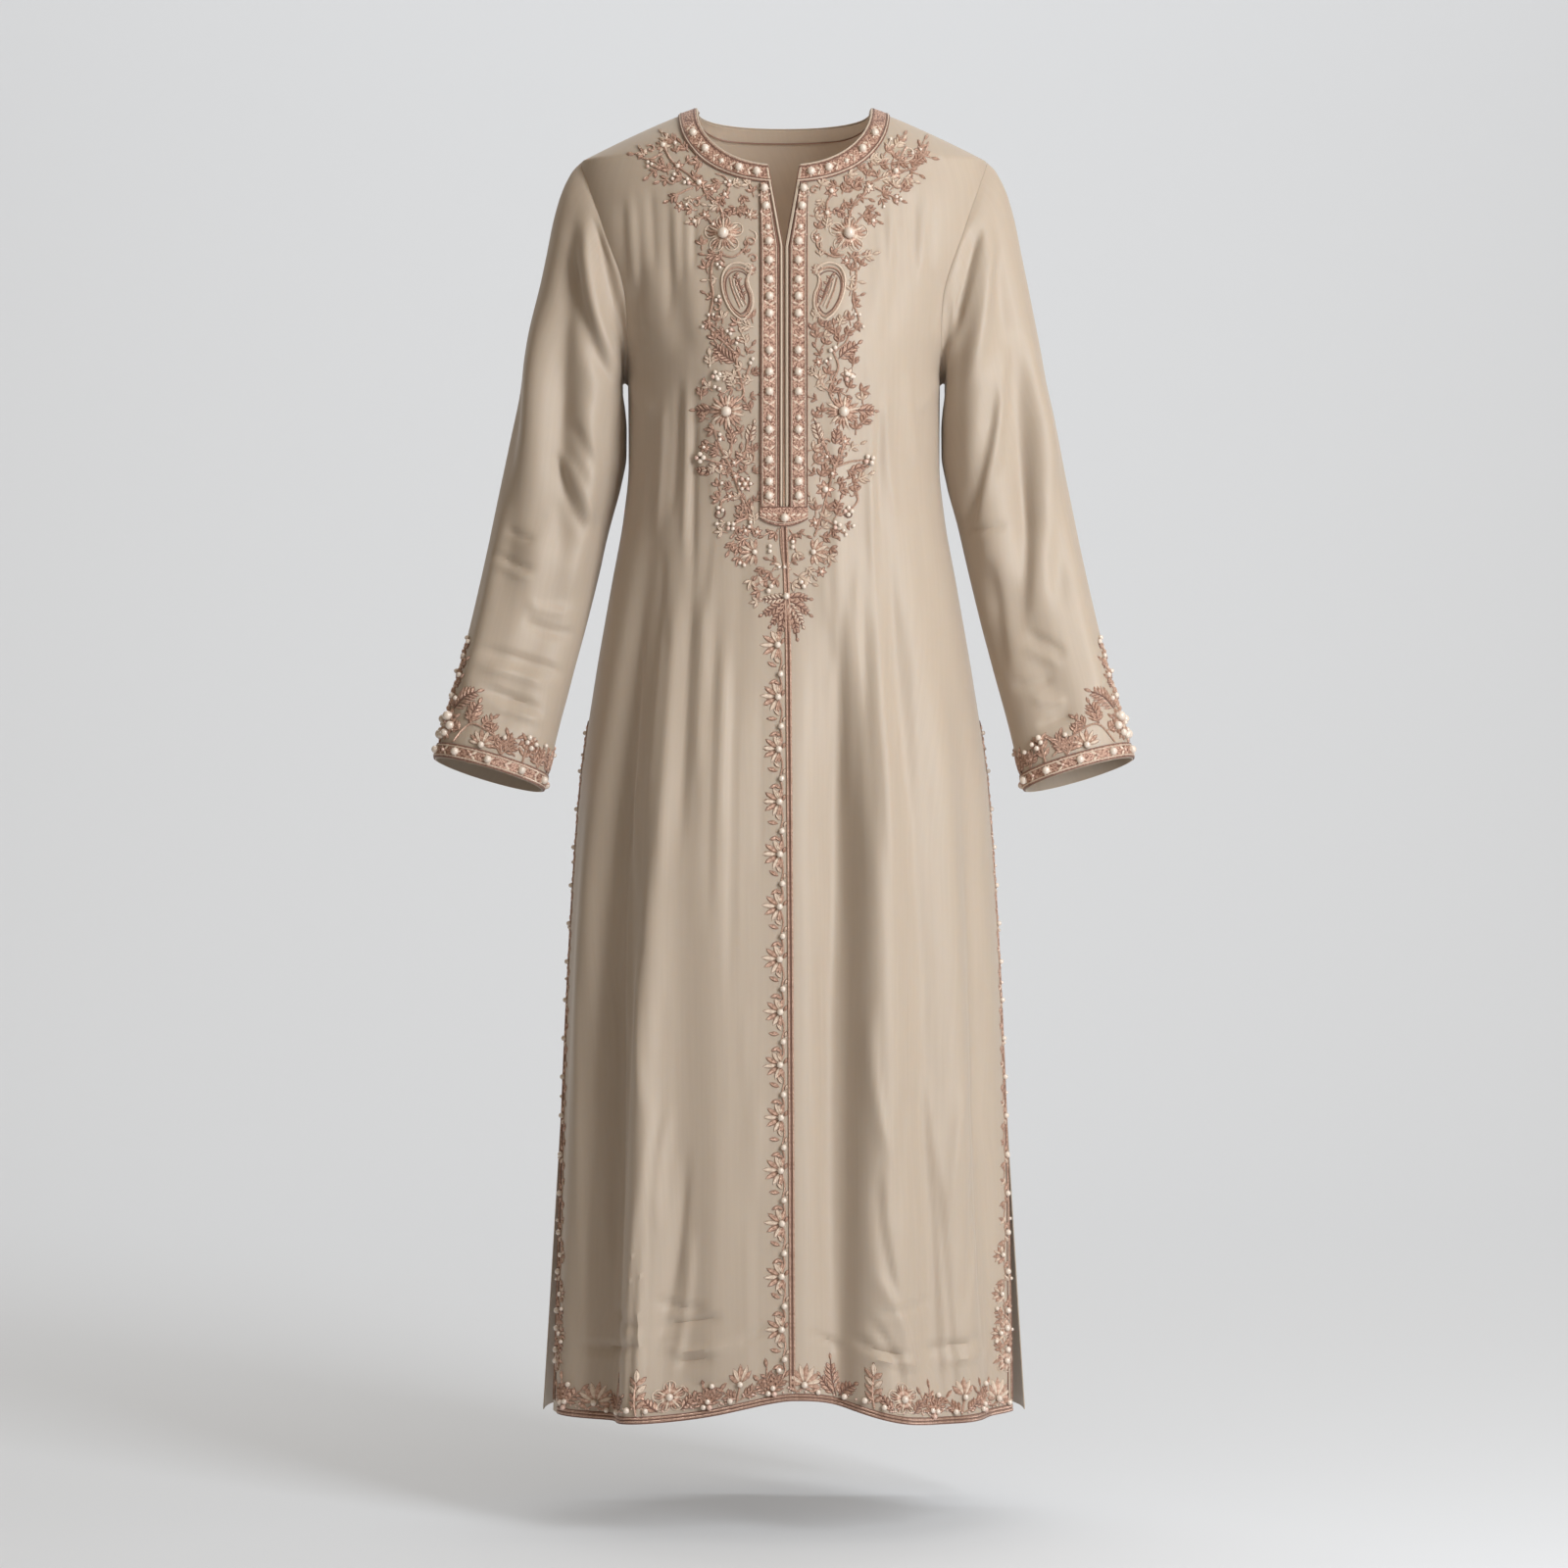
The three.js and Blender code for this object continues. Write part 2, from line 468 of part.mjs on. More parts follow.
// ---------------------------------------------------------------- sleeves
// The armhole of one side as a loop: down the front from the shoulder, then up the back.
function armholeLoop(side) {
  const column = { front: FRONT_COLUMNS, back: side > 0 ? BACK_COLUMNS : 0 };
  const beside = { front: FRONT_COLUMNS - 1, back: side > 0 ? BACK_COLUMNS - 1 : 1 };
  const pick = (panel, part, i) => {
    const row = ROWS_BELOW + i;
    return {
      point: panel.outer[row][column[part]],
      normal: panel.normals[row][column[part]],
      beside: i === 0 ? panel.outer[row - 1][column[part]] : panel.outer[row][beside[part]],
    };
  };
  const down = span(ROWS_ABOVE, (_, i) => pick(FRONT[side], "front", ROWS_ABOVE - i));
  const up = span(ROWS_ABOVE, (_, i) => pick(BACK, "back", i));
  return [...down.slice(0, -1), ...up.slice(0, -1)];
}

function sleevePanel(side) {
  const loop = armholeLoop(side);
  const count = loop.length;
  const columns = ["ox", "oz", "ix", "iz", "front", "back", "rise", "cap"];
  const stations = SLEEVE.map((row, k) => ({ ...row, k }));
  const at = Object.fromEntries(columns.map((c) => [c, track(stations, "k", c)]));
  const ellipse = (k, j) => {
    const angle = (j / count) * 2 * Math.PI;
    const [cos, sin] = [Math.cos(angle), Math.sin(angle)];
    const depth = (at.front(k) + at.back(k)) / 2;
    const middle = (at.back(k) - at.front(k)) / 2;
    return V(
      side * lerp(at.ix(k), at.ox(k), (1 + cos) / 2),
      middle - depth * sin,
      lerp(at.iz(k), at.oz(k), (1 + cos) / 2) + at.rise(k) * sin,
    );
  };
  const base = span(SLEEVE_RINGS, (s) => {
    const k = s * (SLEEVE.length - 1);
    return loop.map((l, j) =>
      ellipse(k, j).add(l.point.clone().sub(ellipse(0, j)).multiplyScalar(at.cap(k))));
  });
  const centres = base.map((ring) =>
    ring.reduce((sum, p) => sum.add(p), V(0, 0, 0)).divideScalar(count));
  const away = (p, i) => p.clone().sub(centres[i]);
  const outer = moved(base, gridNormals(base, away, true), (p, i, j) =>
    foldHeight(SLEEVE_FOLDS, (j / count) * 360, centres[i].z) * smooth(i / FOLD_FADE.rings));
  const normals = gridNormals(outer, away, true);

  // At the armhole the sleeve and the body share one edge direction, and the sleeve stands off.
  loop.forEach((l, j) => {
    const shared = l.normal.clone().add(normals[0][j]).normalize();
    const along = loop[(j + 1) % count].point.clone().sub(loop[(j + count - 1) % count].point);
    const off = along.cross(shared).normalize();
    if (off.dot(l.point.clone().sub(l.beside)) < 0) off.negate();
    l.normal.copy(shared);
    normals[0][j] = shared.clone();
    outer[0][j] = l.point.clone().addScaledVector(off, ARMHOLE_GAP);
  });
  // The shoulder and underarm points belong to the front and to the back alike.
  const shareEnd = (row) => {
    const front = FRONT[side].normals[row][FRONT_COLUMNS];
    const back = BACK.normals[row][side > 0 ? BACK_COLUMNS : 0];
    const n = flatten(front.clone().add(back), "y");
    front.copy(n);
    back.copy(n);
    normals[0][row === ROWS_BELOW ? ROWS_ABOVE : 0].copy(n);
  };
  shareEnd(ROWS_BELOW);
  shareEnd(ROWS_BELOW + ROWS_ABOVE);
  return { outer, normals, closed: true };
}

const SLEEVES = { "-1": sleevePanel(-1), 1: sleevePanel(1) };

// ---------------------------------------------------------------- places on a panel
// The facet point and normal at a fractional row and column of a panel.
function onPanel(panel, row, column) {
  const { outer, normals } = panel;
  const i = clamp(Math.floor(row), 0, outer.length - 2);
  const size = outer[0].length;
  const j = panel.closed ? Math.floor(column) : clamp(Math.floor(column), 0, size - 2);
  const [v, u] = [row - i, column - j];
  const corner = (a, b) => [outer[i + a][(j + b) % size], normals[i + a][(j + b) % size]];
  const parts = v <= u
    ? [[corner(0, 0), 1 - u], [corner(0, 1), u - v], [corner(1, 1), v]]
    : [[corner(0, 0), 1 - v], [corner(1, 0), v - u], [corner(1, 1), u]];
  const point = V(0, 0, 0);
  const normal = V(0, 0, 0);
  for (const [[p, n], weight] of parts) {
    point.addScaledVector(p, weight);
    normal.addScaledVector(n, weight);
  }
  return { point, normal: normal.normalize() };
}

// The place on a front panel that lies at x and z.
function behind(panel, x, z) {
  const { outer } = panel;
  const tolerance = 0.02;
  let best = null;
  for (let i = 0; i < outer.length - 1; i++) {
    for (let j = 0; j < outer[0].length - 1; j++) {
      for (const upper of [false, true]) {
        const [a, c] = [outer[i][j], outer[i + 1][j + 1]];
        const b = upper ? outer[i + 1][j] : outer[i][j + 1];
        const area = (b.x - a.x) * (c.z - a.z) - (c.x - a.x) * (b.z - a.z);
        const weightB = ((x - a.x) * (c.z - a.z) - (c.x - a.x) * (z - a.z)) / area;
        const weightC = ((b.x - a.x) * (z - a.z) - (x - a.x) * (b.z - a.z)) / area;
        const inside = Math.min(weightB, weightC, 1 - weightB - weightC);
        if (best && inside <= best.inside) continue;
        const row = i + weightC + (upper ? weightB : 0);
        const column = j + weightC + (upper ? 0 : weightB);
        best = { inside, row, column };
        if (inside > tolerance) return onPanel(panel, row, column);
      }
    }
  }
  return onPanel(panel, best.row, best.column);
}

// Fractional index at a distance along a line of points.
function walk(points, distance) {
  let left = distance;
  for (let i = 0; i < points.length - 1; i++) {
    const step = points[i].distanceTo(points[i + 1]);
    if (left <= step) return i + left / step;
    left -= step;
  }
  return points.length - 1;
}

// A trim over a grid of places, lifted off the panel; raise makes its outer points stand up.
function trim(places, { lift = LIFT, thick = TRIM, raise = () => 0, closed = false } = {}) {
  const layer = (height) => places.map((row, i) =>
    row.map((p, j) => p.point.clone().addScaledVector(p.normal, height(i, j))));
  return wall(layer((i, j) => lift + thick + raise(i, j)), layer(() => lift), closed);
}

// Stops along a strip: its ends, three at each pearl and others no further apart than step.
function stops(from, to, pearls, step) {
  const list = [{ at: from }, { at: to }];
  for (const at of pearls) {
    list.push({ at: at - PEARL.radius }, { at, pearl: true }, { at: at + PEARL.radius });
  }
  list.sort((a, b) => a.at - b.at);
  const even = list.filter((s, i) => i === 0 || s.at - list[i - 1].at > 0.8 || s.pearl);
  return even.flatMap((s, i) => {
    if (i === 0) return [s];
    const before = even[i - 1].at;
    const parts = Math.ceil((s.at - before) / step);
    return span(parts - 1, (_, k) =>
      k === parts - 1 ? s : { at: lerp(before, s.at, (k + 1) / parts) });
  });
}

// Across a strip with pearls: its edges, the middle, and a pearl's reach on each side.
const ACROSS = 4;
function across(width) {
  const reach = Math.min(PEARL.radius, width / 2 - 0.4);
  return [0, width / 2 - reach, width / 2, width / 2 + reach, width];
}
const pearlRise = (rows) => (i, j) => (rows[i].pearl && j === ACROSS / 2 ? PEARL.height : 0);

// ---------------------------------------------------------------- trims of the front
// Round the neckline from the notch to the shoulder seam, on one side.
function neckband(side) {
  const angleStart = (b) => {
    const x = slitX(-NECK.frontDrop - b) + PIPING.inset + PIPING.width + SEAM_GAP;
    return neckAngleAt(x, b);
  };
  const end = Math.PI / 2 - 0.01; // a hair short of the shoulder seam
  const half = NECKBAND.width / 2;
  const line = span(NECKBAND.samples, (t) => {
    const p = neckline(lerp(angleStart(half), end, t), half);
    return V(p.x, 0, p.z);
  });
  const length = line.slice(1).reduce((sum, p, i) => sum + p.distanceTo(line[i]), 0);
  const turn = length - NECKBAND.overShoulder;
  const rows = [
    ...stops(0, turn - PEARL.radius, NECKBAND_PEARLS, BEAD_STEP.curved),
    ...span(7, (t) => ({ at: lerp(turn, length, crowded(t)) })),
  ];
  const places = rows.map(({ at }) => {
    const t = walk(line, at) / NECKBAND.samples;
    return across(NECKBAND.width).map((b) => {
      const p = neckline(lerp(angleStart(b + NECKBAND.inset), end, t), b + NECKBAND.inset);
      return behind(FRONT[side], side * p.x, p.z);
    });
  });
  return trim(places, { raise: pearlRise(rows), lift: NECKBAND.lift });
}

const plumbStrip = (side, zs, xs) => zs.map((z) =>
  xs(z).map((x) => behind(FRONT[side], side * x, z)));

function placketStrip(side) {
  const pearls = PLACKET_PEARLS.map((row) => -row[sideName[side]]);
  const topZ = -NECK.frontDrop - NECKBAND.inset - NECKBAND.width - SEAM_GAP;
  const rows = stops(-topZ, -PLACKET.bottomZ, pearls, BEAD_STEP.straight);
  const places = plumbStrip(side, rows.map((r) => -r.at), (z) => {
    const inner = slitX(z) + PIPING.inset + PIPING.width + SEAM_GAP;
    return across(PLACKET.halfWidth - inner).map((w) => inner + w);
  });
  return trim(places, { raise: pearlRise(rows) });
}

function piping(side) {
  const top = -NECK.frontDrop - 1;
  const zs = [
    ...span(4, (t) => lerp(top, NECK_SLIT.bottomZ, t)),
    ...span(14, (t) => lerp(NECK_SLIT.bottomZ, PLACKET.bottomZ, t)).slice(1),
  ];
  const places = plumbStrip(side, zs, (z) =>
    [0, 0.5, 1].map((t) => slitX(z) + PIPING.inset + PIPING.width * t));
  return trim(places, { raise: (_, j) => (j === 1 ? PIPING.height - TRIM : 0) });
}

// A place on whichever front panel lies at x, parted at the centre seam.
const onFront = (x, z) => behind(FRONT[x < seamX(z) ? -1 : 1], x, z);

function placketEnd() {
  const { endPearlZ, halfWidth } = PLACKET;
  const zs = [
    PLACKET.bottomZ - SEAM_GAP, endPearlZ + PEARL.radius, endPearlZ, endPearlZ - PEARL.radius, PLACKET.endZ,
  ];
  const reach = [-halfWidth, -halfWidth / 2, -PEARL.radius, 0, PEARL.radius, halfWidth / 2, halfWidth];
  const places = zs.map((z) => reach.map((x) => onFront(x, z)));
  return trim(places, { raise: (i, j) => (i === 2 && j === 3 ? PEARL.height : 0) });
}

function centreBraid() {
  const from = PLACKET.endZ - SEAM_GAP;
  const to = hemZ(0, true) + BRAID.hemInset + BRAID.hemWidth + SEAM_GAP;
  const zs = span(BRAID_ROWS, (t) => lerp(from, to, t));
  const places = zs.map((z) => [-0.5, 0, 0.5].map((t) => onFront(seamX(z) + t * BRAID.width, z)));
  return trim(places, { raise: (_, j) => (j === 1 ? BRAID.crown : 0) });
}

function hemBorder(side) {
  const panel = FRONT[side];
  const columns = span(FRONT_COLUMNS * 2, (s) => lerp(0.03, FRONT_COLUMNS - 0.05, s));
  const places = columns.map((column) => {
    const line = [0, 1, 2].map((row) => onPanel(panel, row, column).point);
    return [BRAID.hemInset, BRAID.hemInset + BRAID.hemWidth].map((d) =>
      onPanel(panel, walk(line, d), column));
  });
  return trim(places);
}

function slitEdging(side) {
  const panel = FRONT[side];
  const topRow = panel.outer.findIndex((row) => row[FRONT_COLUMNS].z > SIDE_SLIT_TOP) - 1;
  const above = BRAID.hemInset + BRAID.hemWidth + SEAM_GAP;
  const places = span(topRow * 3, (s) => {
    const line = [0, 1].map((row) => onPanel(panel, row, FRONT_COLUMNS).point);
    const row = lerp(walk(line, above), topRow, s);
    const edge = [0, 1, 2].map((k) => onPanel(panel, row, FRONT_COLUMNS - k).point);
    return [BRAID.slitInset, BRAID.slitInset + BRAID.slitWidth].map((d) =>
      onPanel(panel, row, FRONT_COLUMNS - walk(edge, d)));
  });
  return trim(places);
}

// A flat patch on the front made of rings about its middle; outline gives x and z at an angle.
function patch({ x, z }, sides, rings, outline) {
  const places = rings.map(({ reach }) => span(sides - 1, (_, k) => {
    const p = outline((k / sides) * 2 * Math.PI);
    return onFront(x + reach * p.x, z + reach * p.z);
  }));
  return trim(places, { closed: true, raise: (ring) => rings[ring].rise });
}

function flower(spec) {
  return patch(spec, FLOWER_PETALS * 4, FLOWER_RINGS, (angle) => {
    const lobe = 0.6 + 0.4 * Math.abs(Math.cos((FLOWER_PETALS * angle) / 2)) ** 0.7;
    const turned = angle + rad(spec.turn);
    return { x: spec.reach * lobe * Math.cos(turned), z: spec.reach * lobe * Math.sin(turned) };
  });
}

// A drop that narrows upwards to a tip leaning to one side.
function paisley(spec) {
  return patch(spec, PAISLEY_SIDES, PAISLEY_RINGS, (angle) => {
    const up = -Math.cos(angle);
    const bend = spec.lean * Math.max(0, up) ** 2;
    return {
      x: spec.wide * Math.sin(angle) * Math.abs(Math.cos(angle / 2)) ** 0.8 + bend,
      z: spec.tall * up,
    };
  });
}

// ---------------------------------------------------------------- cuffs and back neck
function cuffBand(side) {
  const panel = SLEEVES[side];
  const sides = panel.outer[0].length;
  const pitch = sides / CUFF_BAND.pearls;
  const ring = panel.outer[SLEEVE_RINGS];
  const sideLength = ring[0].distanceTo(ring[1]);
  const reach = PEARL.radius / sideLength;
  const columns = [];
  for (let k = 0; k < CUFF_BAND.pearls; k++) {
    const middle = (k + 0.5) * pitch;
    columns.push({ at: k * pitch }, { at: middle - reach });
    columns.push({ at: middle, pearl: true }, { at: middle + reach });
  }
  const places = across(CUFF_BAND.width).map((w) => columns.map(({ at }) => {
    const line = [0, 1, 2].map((k) => onPanel(panel, SLEEVE_RINGS - k, at).point);
    return onPanel(panel, SLEEVE_RINGS - walk(line, CUFF_BAND.inset + w), at);
  }));
  const raise = (i, j) => (columns[j].pearl && i === ACROSS / 2 ? PEARL.height : 0);
  return trim(places, { raise, closed: true });
}

function backNeckFacing() {
  const last = ROWS_BELOW + ROWS_ABOVE;
  const columns = span(BACK_COLUMNS, (s) => BACK_COLUMNS * lerp(0.26, 0.74, s));
  const places = columns.map((column) => {
    const line = [0, 1, 2, 3].map((k) => onPanel(BACK, last - k, column).point);
    return [FACING.inset, FACING.inset + FACING.depth].map((d) =>
      onPanel(BACK, last - walk(line, d), column));
  });
  return trim(places, { lift: -CLOTH - SEAM_GAP - TRIM });
}

// ---------------------------------------------------------------- the garment
const panelWall = (panel) =>
  wall(panel.outer, moved(panel.outer, panel.normals, () => -CLOTH), panel.closed);

const kurti = new THREE.Group();
function add(name, g, material) {
  g.computeVertexNormals();
  const mesh = new THREE.Mesh(g, material);
  mesh.name = name;
  kurti.add(mesh);
}

const crepe = new THREE.MeshStandardMaterial({ color: colour(0.74, 0.67, 0.58), roughness: 0.62 });
const thread = new THREE.MeshStandardMaterial({
  color: colour(0.76, 0.54, 0.45), roughness: 0.4, metalness: 0.35,
});

for (const side of [-1, 1]) {
  const name = sideName[side];
  add(`front_${name}`, panelWall(FRONT[side]), crepe);
  add(`sleeve_${name}`, panelWall(SLEEVES[side]), crepe);
  add(`neckband_${name}`, neckband(side), thread);
  add(`placket_${name}`, placketStrip(side), thread);
  add(`notch_piping_${name}`, piping(side), crepe);
  add(`hem_border_${name}`, hemBorder(side), thread);
  add(`slit_edging_${name}`, slitEdging(side), thread);
  add(`cuff_band_${name}`, cuffBand(side), thread);
}
add("back", panelWall(BACK), crepe);
add("back_neck_facing", backNeckFacing(), crepe);
add("placket_end", placketEnd(), thread);
add("centre_braid", centreBraid(), thread);
for (const spec of FLOWERS) add(`flower_${spec.name}`, flower(spec), thread);
for (const spec of PAISLEYS) add(`paisley_${spec.name}`, paisley(spec), thread);

export default kurti;
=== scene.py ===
"""Long kurti of fine crepe with rose-gold thread embroidery and pearls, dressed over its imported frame.

Sizes are in millimetres in the garment's own frame, and mesh_object() turns them into metres:
+X to the wearer's left, -Y to the front, +Z up, the origin midway between the high shoulder points.
"""
import math
import random

import bmesh
import bpy
import numpy as np
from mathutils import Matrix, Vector


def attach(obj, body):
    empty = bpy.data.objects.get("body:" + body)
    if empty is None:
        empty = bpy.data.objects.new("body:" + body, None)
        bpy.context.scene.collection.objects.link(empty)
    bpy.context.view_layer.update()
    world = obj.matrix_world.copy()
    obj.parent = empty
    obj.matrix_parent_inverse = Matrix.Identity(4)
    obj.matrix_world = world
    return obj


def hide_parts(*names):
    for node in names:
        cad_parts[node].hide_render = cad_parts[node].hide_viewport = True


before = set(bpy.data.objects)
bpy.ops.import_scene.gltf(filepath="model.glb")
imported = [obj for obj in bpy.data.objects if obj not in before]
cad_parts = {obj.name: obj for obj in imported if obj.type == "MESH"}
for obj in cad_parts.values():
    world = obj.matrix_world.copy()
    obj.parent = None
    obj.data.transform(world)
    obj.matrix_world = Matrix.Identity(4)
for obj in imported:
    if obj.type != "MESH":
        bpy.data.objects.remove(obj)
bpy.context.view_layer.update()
MM = 0.001


def table(names, *rows):
    """Rows of numbers under named columns."""
    return [dict(zip(names.split(), row)) for row in rows]


# ------------------------------------------------------------------ sizes of the cut
CLOTH = 0.9  # crepe with its seam allowances pressed flat
SEAM_GAP = 0.6
SLEEVE_GAP = 0.25
NECK = {"half_width": 82, "front_drop": 63.5, "back_drop": 9, "roundness": 2.2}
SHOULDER = {"x": 193, "z": -50, "curve": 1.15}
UNDERARM_Z = -262
NECK_SLIT = {"half_gap": 13.7, "bottom_z": -142}
SIDE_SLIT_TOP = -588
HEM = {"front": -1228, "back": -1234, "centre_rise": 26, "side_rise": 3,
       "right_width": 85, "right_power": 1.6, "left_width": 77, "left_power": 2.5}
ROUNDNESS = 2.2
BUST = {"x": 78, "z": -228, "wide": 60, "tall": 75, "height": 9}

BODY_WIDTH = table(
    "z x", (-50, 193), (-85, 192), (-120, 189), (-187, 165), (-222, 156), (-244, 150), (-262, 148),
    (-337, 147.5), (-385, 152), (-453, 164), (-546, 180), (-639, 193), (-732, 200), (-918, 210),
    (-1104, 221), (-1250, 230))
FRONT_PROFILE = table(
    "z y", (0, 28), (-17, 46), (-36, 62), (-53, 71), (-64, 75), (-90, 86), (-120, 95), (-160, 104.5),
    (-200, 111.5), (-240, 115.5), (-290, 117), (-337, 116), (-400, 116), (-480, 121), (-640, 135),
    (-800, 146), (-1000, 157), (-1250, 167))
BACK_PROFILE = table(
    "z y", (0, 30), (-1, 37), (-4, 48), (-9, 55), (-30, 67), (-60, 81), (-120, 100), (-187, 108),
    (-262, 104), (-337, 95), (-400, 92), (-480, 102), (-560, 116), (-640, 127), (-800, 138),
    (-1000, 148), (-1250, 160))
ARMHOLE = table(
    "z front back", (-50, 193, 193), (-60, 190, 190.5), (-80, 183, 184), (-120, 169, 172),
    (-187, 149, 152.5), (-222, 147.5, 150.5), (-244, 147.5, 148.7), (-262, 148, 148))
FRONT_EDGE = table(
    "z deg", (-588, 90), (-760, 88.5), (-880, 84.5), (-1000, 78.5), (-1100, 73.5), (-1250, 68))
SEAM_SHIFT = table("z x", (-392, 0), (-520, 4), (-1250, 8))
SLEEVE = table(
    "ox oz ix iz front back rise cap",
    (193, -50, 148, -262, 57, 48, 0, 1), (200, -57, 151, -259.6, 58.5, 50, 0, 0.96),
    (206, -67, 152.8, -260.5, 60, 52, 0, 0.86), (212, -81, 153.3, -263.5, 61, 53, 0, 0.74),
    (218.6, -104, 153, -268.5, 61, 53, 0, 0.6), (225.5, -138, 152.7, -276, 60, 53, 0, 0.42),
    (234, -180, 150.6, -288, 58, 52, 0, 0.24), (243, -228, 149.3, -305, 56, 51, 0, 0.1),
    (252, -275, 149.5, -328, 54, 50, 0, 0), (262, -322, 154.6, -357, 52, 49, 0, 0),
    (271, -366, 164.2, -393, 51, 46, 1, 0), (280, -412, 175, -440, 54, 40, 3, 0),
    (289.5, -458, 186, -487, 60, 31, 5, 0), (300, -505, 198, -534, 67, 21, 6, 0),
    (312, -552, 210.5, -581, 75, 11, 7, 0), (322, -592, 220, -621, 81, 3, 7, 0),
    (328, -617, 227, -646, 84, -1, 7, 0))

# ------------------------------------------------------------------ folds
# Long drape folds: degrees round the panel at the top and at the foot, half-width in degrees.
FOLD_FADE = {"deg": 12, "mm": 40, "rings": 0.3}
FRONT_FOLDS = table(
    "top_deg foot_deg top foot wide high",
    (-52, -44, -330, -1300, 7.5, -10), (-38, -33, -420, -1300, 6, 6), (-28, -24, -440, -1240, 6, -3),
    (-15, -13, -400, -1300, 6, 2.5), (13, 12, -430, -1300, 6, -11), (24, 25, -430, -1300, 6, 5),
    (33, 35, -380, -1240, 5.5, -4), (47, 46, -420, -1300, 7, 6), (-66, -60, -560, -1300, 7, 5),
    (62, 58, -520, -1300, 6.5, -6), (-22, -24, -72, -230, 5, -2), (-36, -36, -70, -245, 5.5, -2.4),
    (24, 25, -76, -230, 5, -1.8), (37, 36, -70, -240, 5.5, -2))
BACK_FOLDS = table(
    "top_deg foot_deg top foot wide high",
    (-62, -58, -420, -1300, 8, -8), (-44, -42, -380, -1300, 7, 7), (-27, -28, -430, -1300, 8, -9),
    (-8, -10, -360, -1300, 8, 8), (10, 9, -450, -1300, 7, -8), (28, 27, -400, -1300, 8, 8),
    (47, 45, -420, -1300, 8, -9), (64, 62, -520, -1300, 6, 5), (-40, -30, -230, -470, 8, -4),
    (40, 31, -240, -460, 8, -4))
SLEEVE_FOLDS = table(
    "top_deg foot_deg top foot wide high",
    (62, 84, -105, -430, 15, -5), (100, 128, -150, -470, 17, 4.5), (40, 48, -190, -600, 15, 3.5),
    (120, 92, -420, -600, 20, -4), (300, 285, -120, -480, 17, -5), (262, 240, -170, -520, 18, 4),
    (325, 315, -300, -610, 15, -3))

# Creases: from (x0, z0) to (x1, z1) as seen from the front; bow is how far the middle stands aside,
# wide the half-width, high out (+) or in (-), lean how much softer one flank is than the other.
SKIRT_CREASES = table(
    "x0 z0 x1 z1 bow wide high lean",
    # pressed lines that run down to the small steps of the hem
    (-112, -905, -126, -1236, 4, 5, 3.2, 0.6), (-118, -1000, -133, -1236, 3, 4, -2.6, -0.5),
    (128, -880, 150, -1236, -3, 5, 2.4, -0.6), (134, -960, 157, -1236, -2, 4, -2.0, 0.5),
    # the two broad folds: a steep flank towards the wearer's right, a long easy one to the left
    (-77, -440, -146, -1520, 12, 27, 10.5, -0.58), (87, -420, 66, -1520, -3, 27, 10.5, -0.58),
    (-150, -560, -166, -1200, 6, 12, -3.0, 0.3), (50, -520, 44, -1200, 5, 11, -3.0, 0.3),
    # slanting folds on their flanks
    (-88, -960, -118, -1175, -7, 5, -1.9, 0.4), (-100, -930, -112, -1060, 4, 4.5, 1.8, 0),
    (-84, -1040, -104, -1200, -5, 5, 1.9, 0.3), (-128, -780, -118, -960, 4, 5, 1.7, 0.2),
    (78, -830, 98, -1000, 9, 5, 2.2, 0.4), (84, -980, 106, -1130, 8, 4.5, -2.4, 0.5),
    (76, -1080, 118, -1200, -10, 5, 2.4, 0.5), (70, -1120, 108, -1215, -9, 4, -2.2, 0.4),
    (104, -900, 92, -1060, -6, 6, -1.6, 0), (112, -1000, 128, -1160, 3, 5, 1.6, 0),
    (172, -980, 158, -1150, -4, 6, -2.4, 0.4), (164, -900, 150, -1060, 3, 5, 1.8, 0),
    (182, -860, 186, -1180, 3, 6, -1.6, 0), (-178, -700, -168, -1150, 3, 5, 1.8, 0),
    (-168, -760, -158, -1100, -3, 5, -1.6, 0), (-186, -760, -184, -1200, 2, 4, 1.4, 0),
    (-150, -680, -146, -900, 4, 6, 2.0, 0.2), (-138, -620, -128, -760, 4, 5, 1.8, 0.2),
    # small crosswise creases over the hem
    (-196, -1160, -116, -1150, 4, 3.6, -2.8, 0.3), (-116, -1140, -52, -1128, -4, 3.4, -3.0, 0.3),
    (-112, -1156, -44, -1152, 3, 3.0, 2.4, 0), (-104, -1172, -60, -1166, -3, 3.0, -2.6, 0.2),
    (-118, -1110, -66, -1118, 4, 3.4, -2.4, 0.2), (-96, -1188, -40, -1184, 2, 2.8, -1.8, 0),
    (60, -1142, 110, -1162, 4, 3.4, -3.0, 0.3), (70, -1166, 128, -1174, -3, 3.2, 2.6, 0),
    (122, -1158, 188, -1148, 3, 3.4, -2.8, 0.3), (136, -1174, 196, -1166, -2, 3.0, 2.0, 0),
    (-44, -1150, -14, -1130, 2, 3.2, -1.8, 0), (18, -1140, 58, -1160, -3, 3.2, -2.2, 0.2),
    (-172, -1124, -116, -1136, 3, 3.8, -2.0, 0), (78, -1120, 140, -1112, 4, 3.6, -2.0, 0.2))
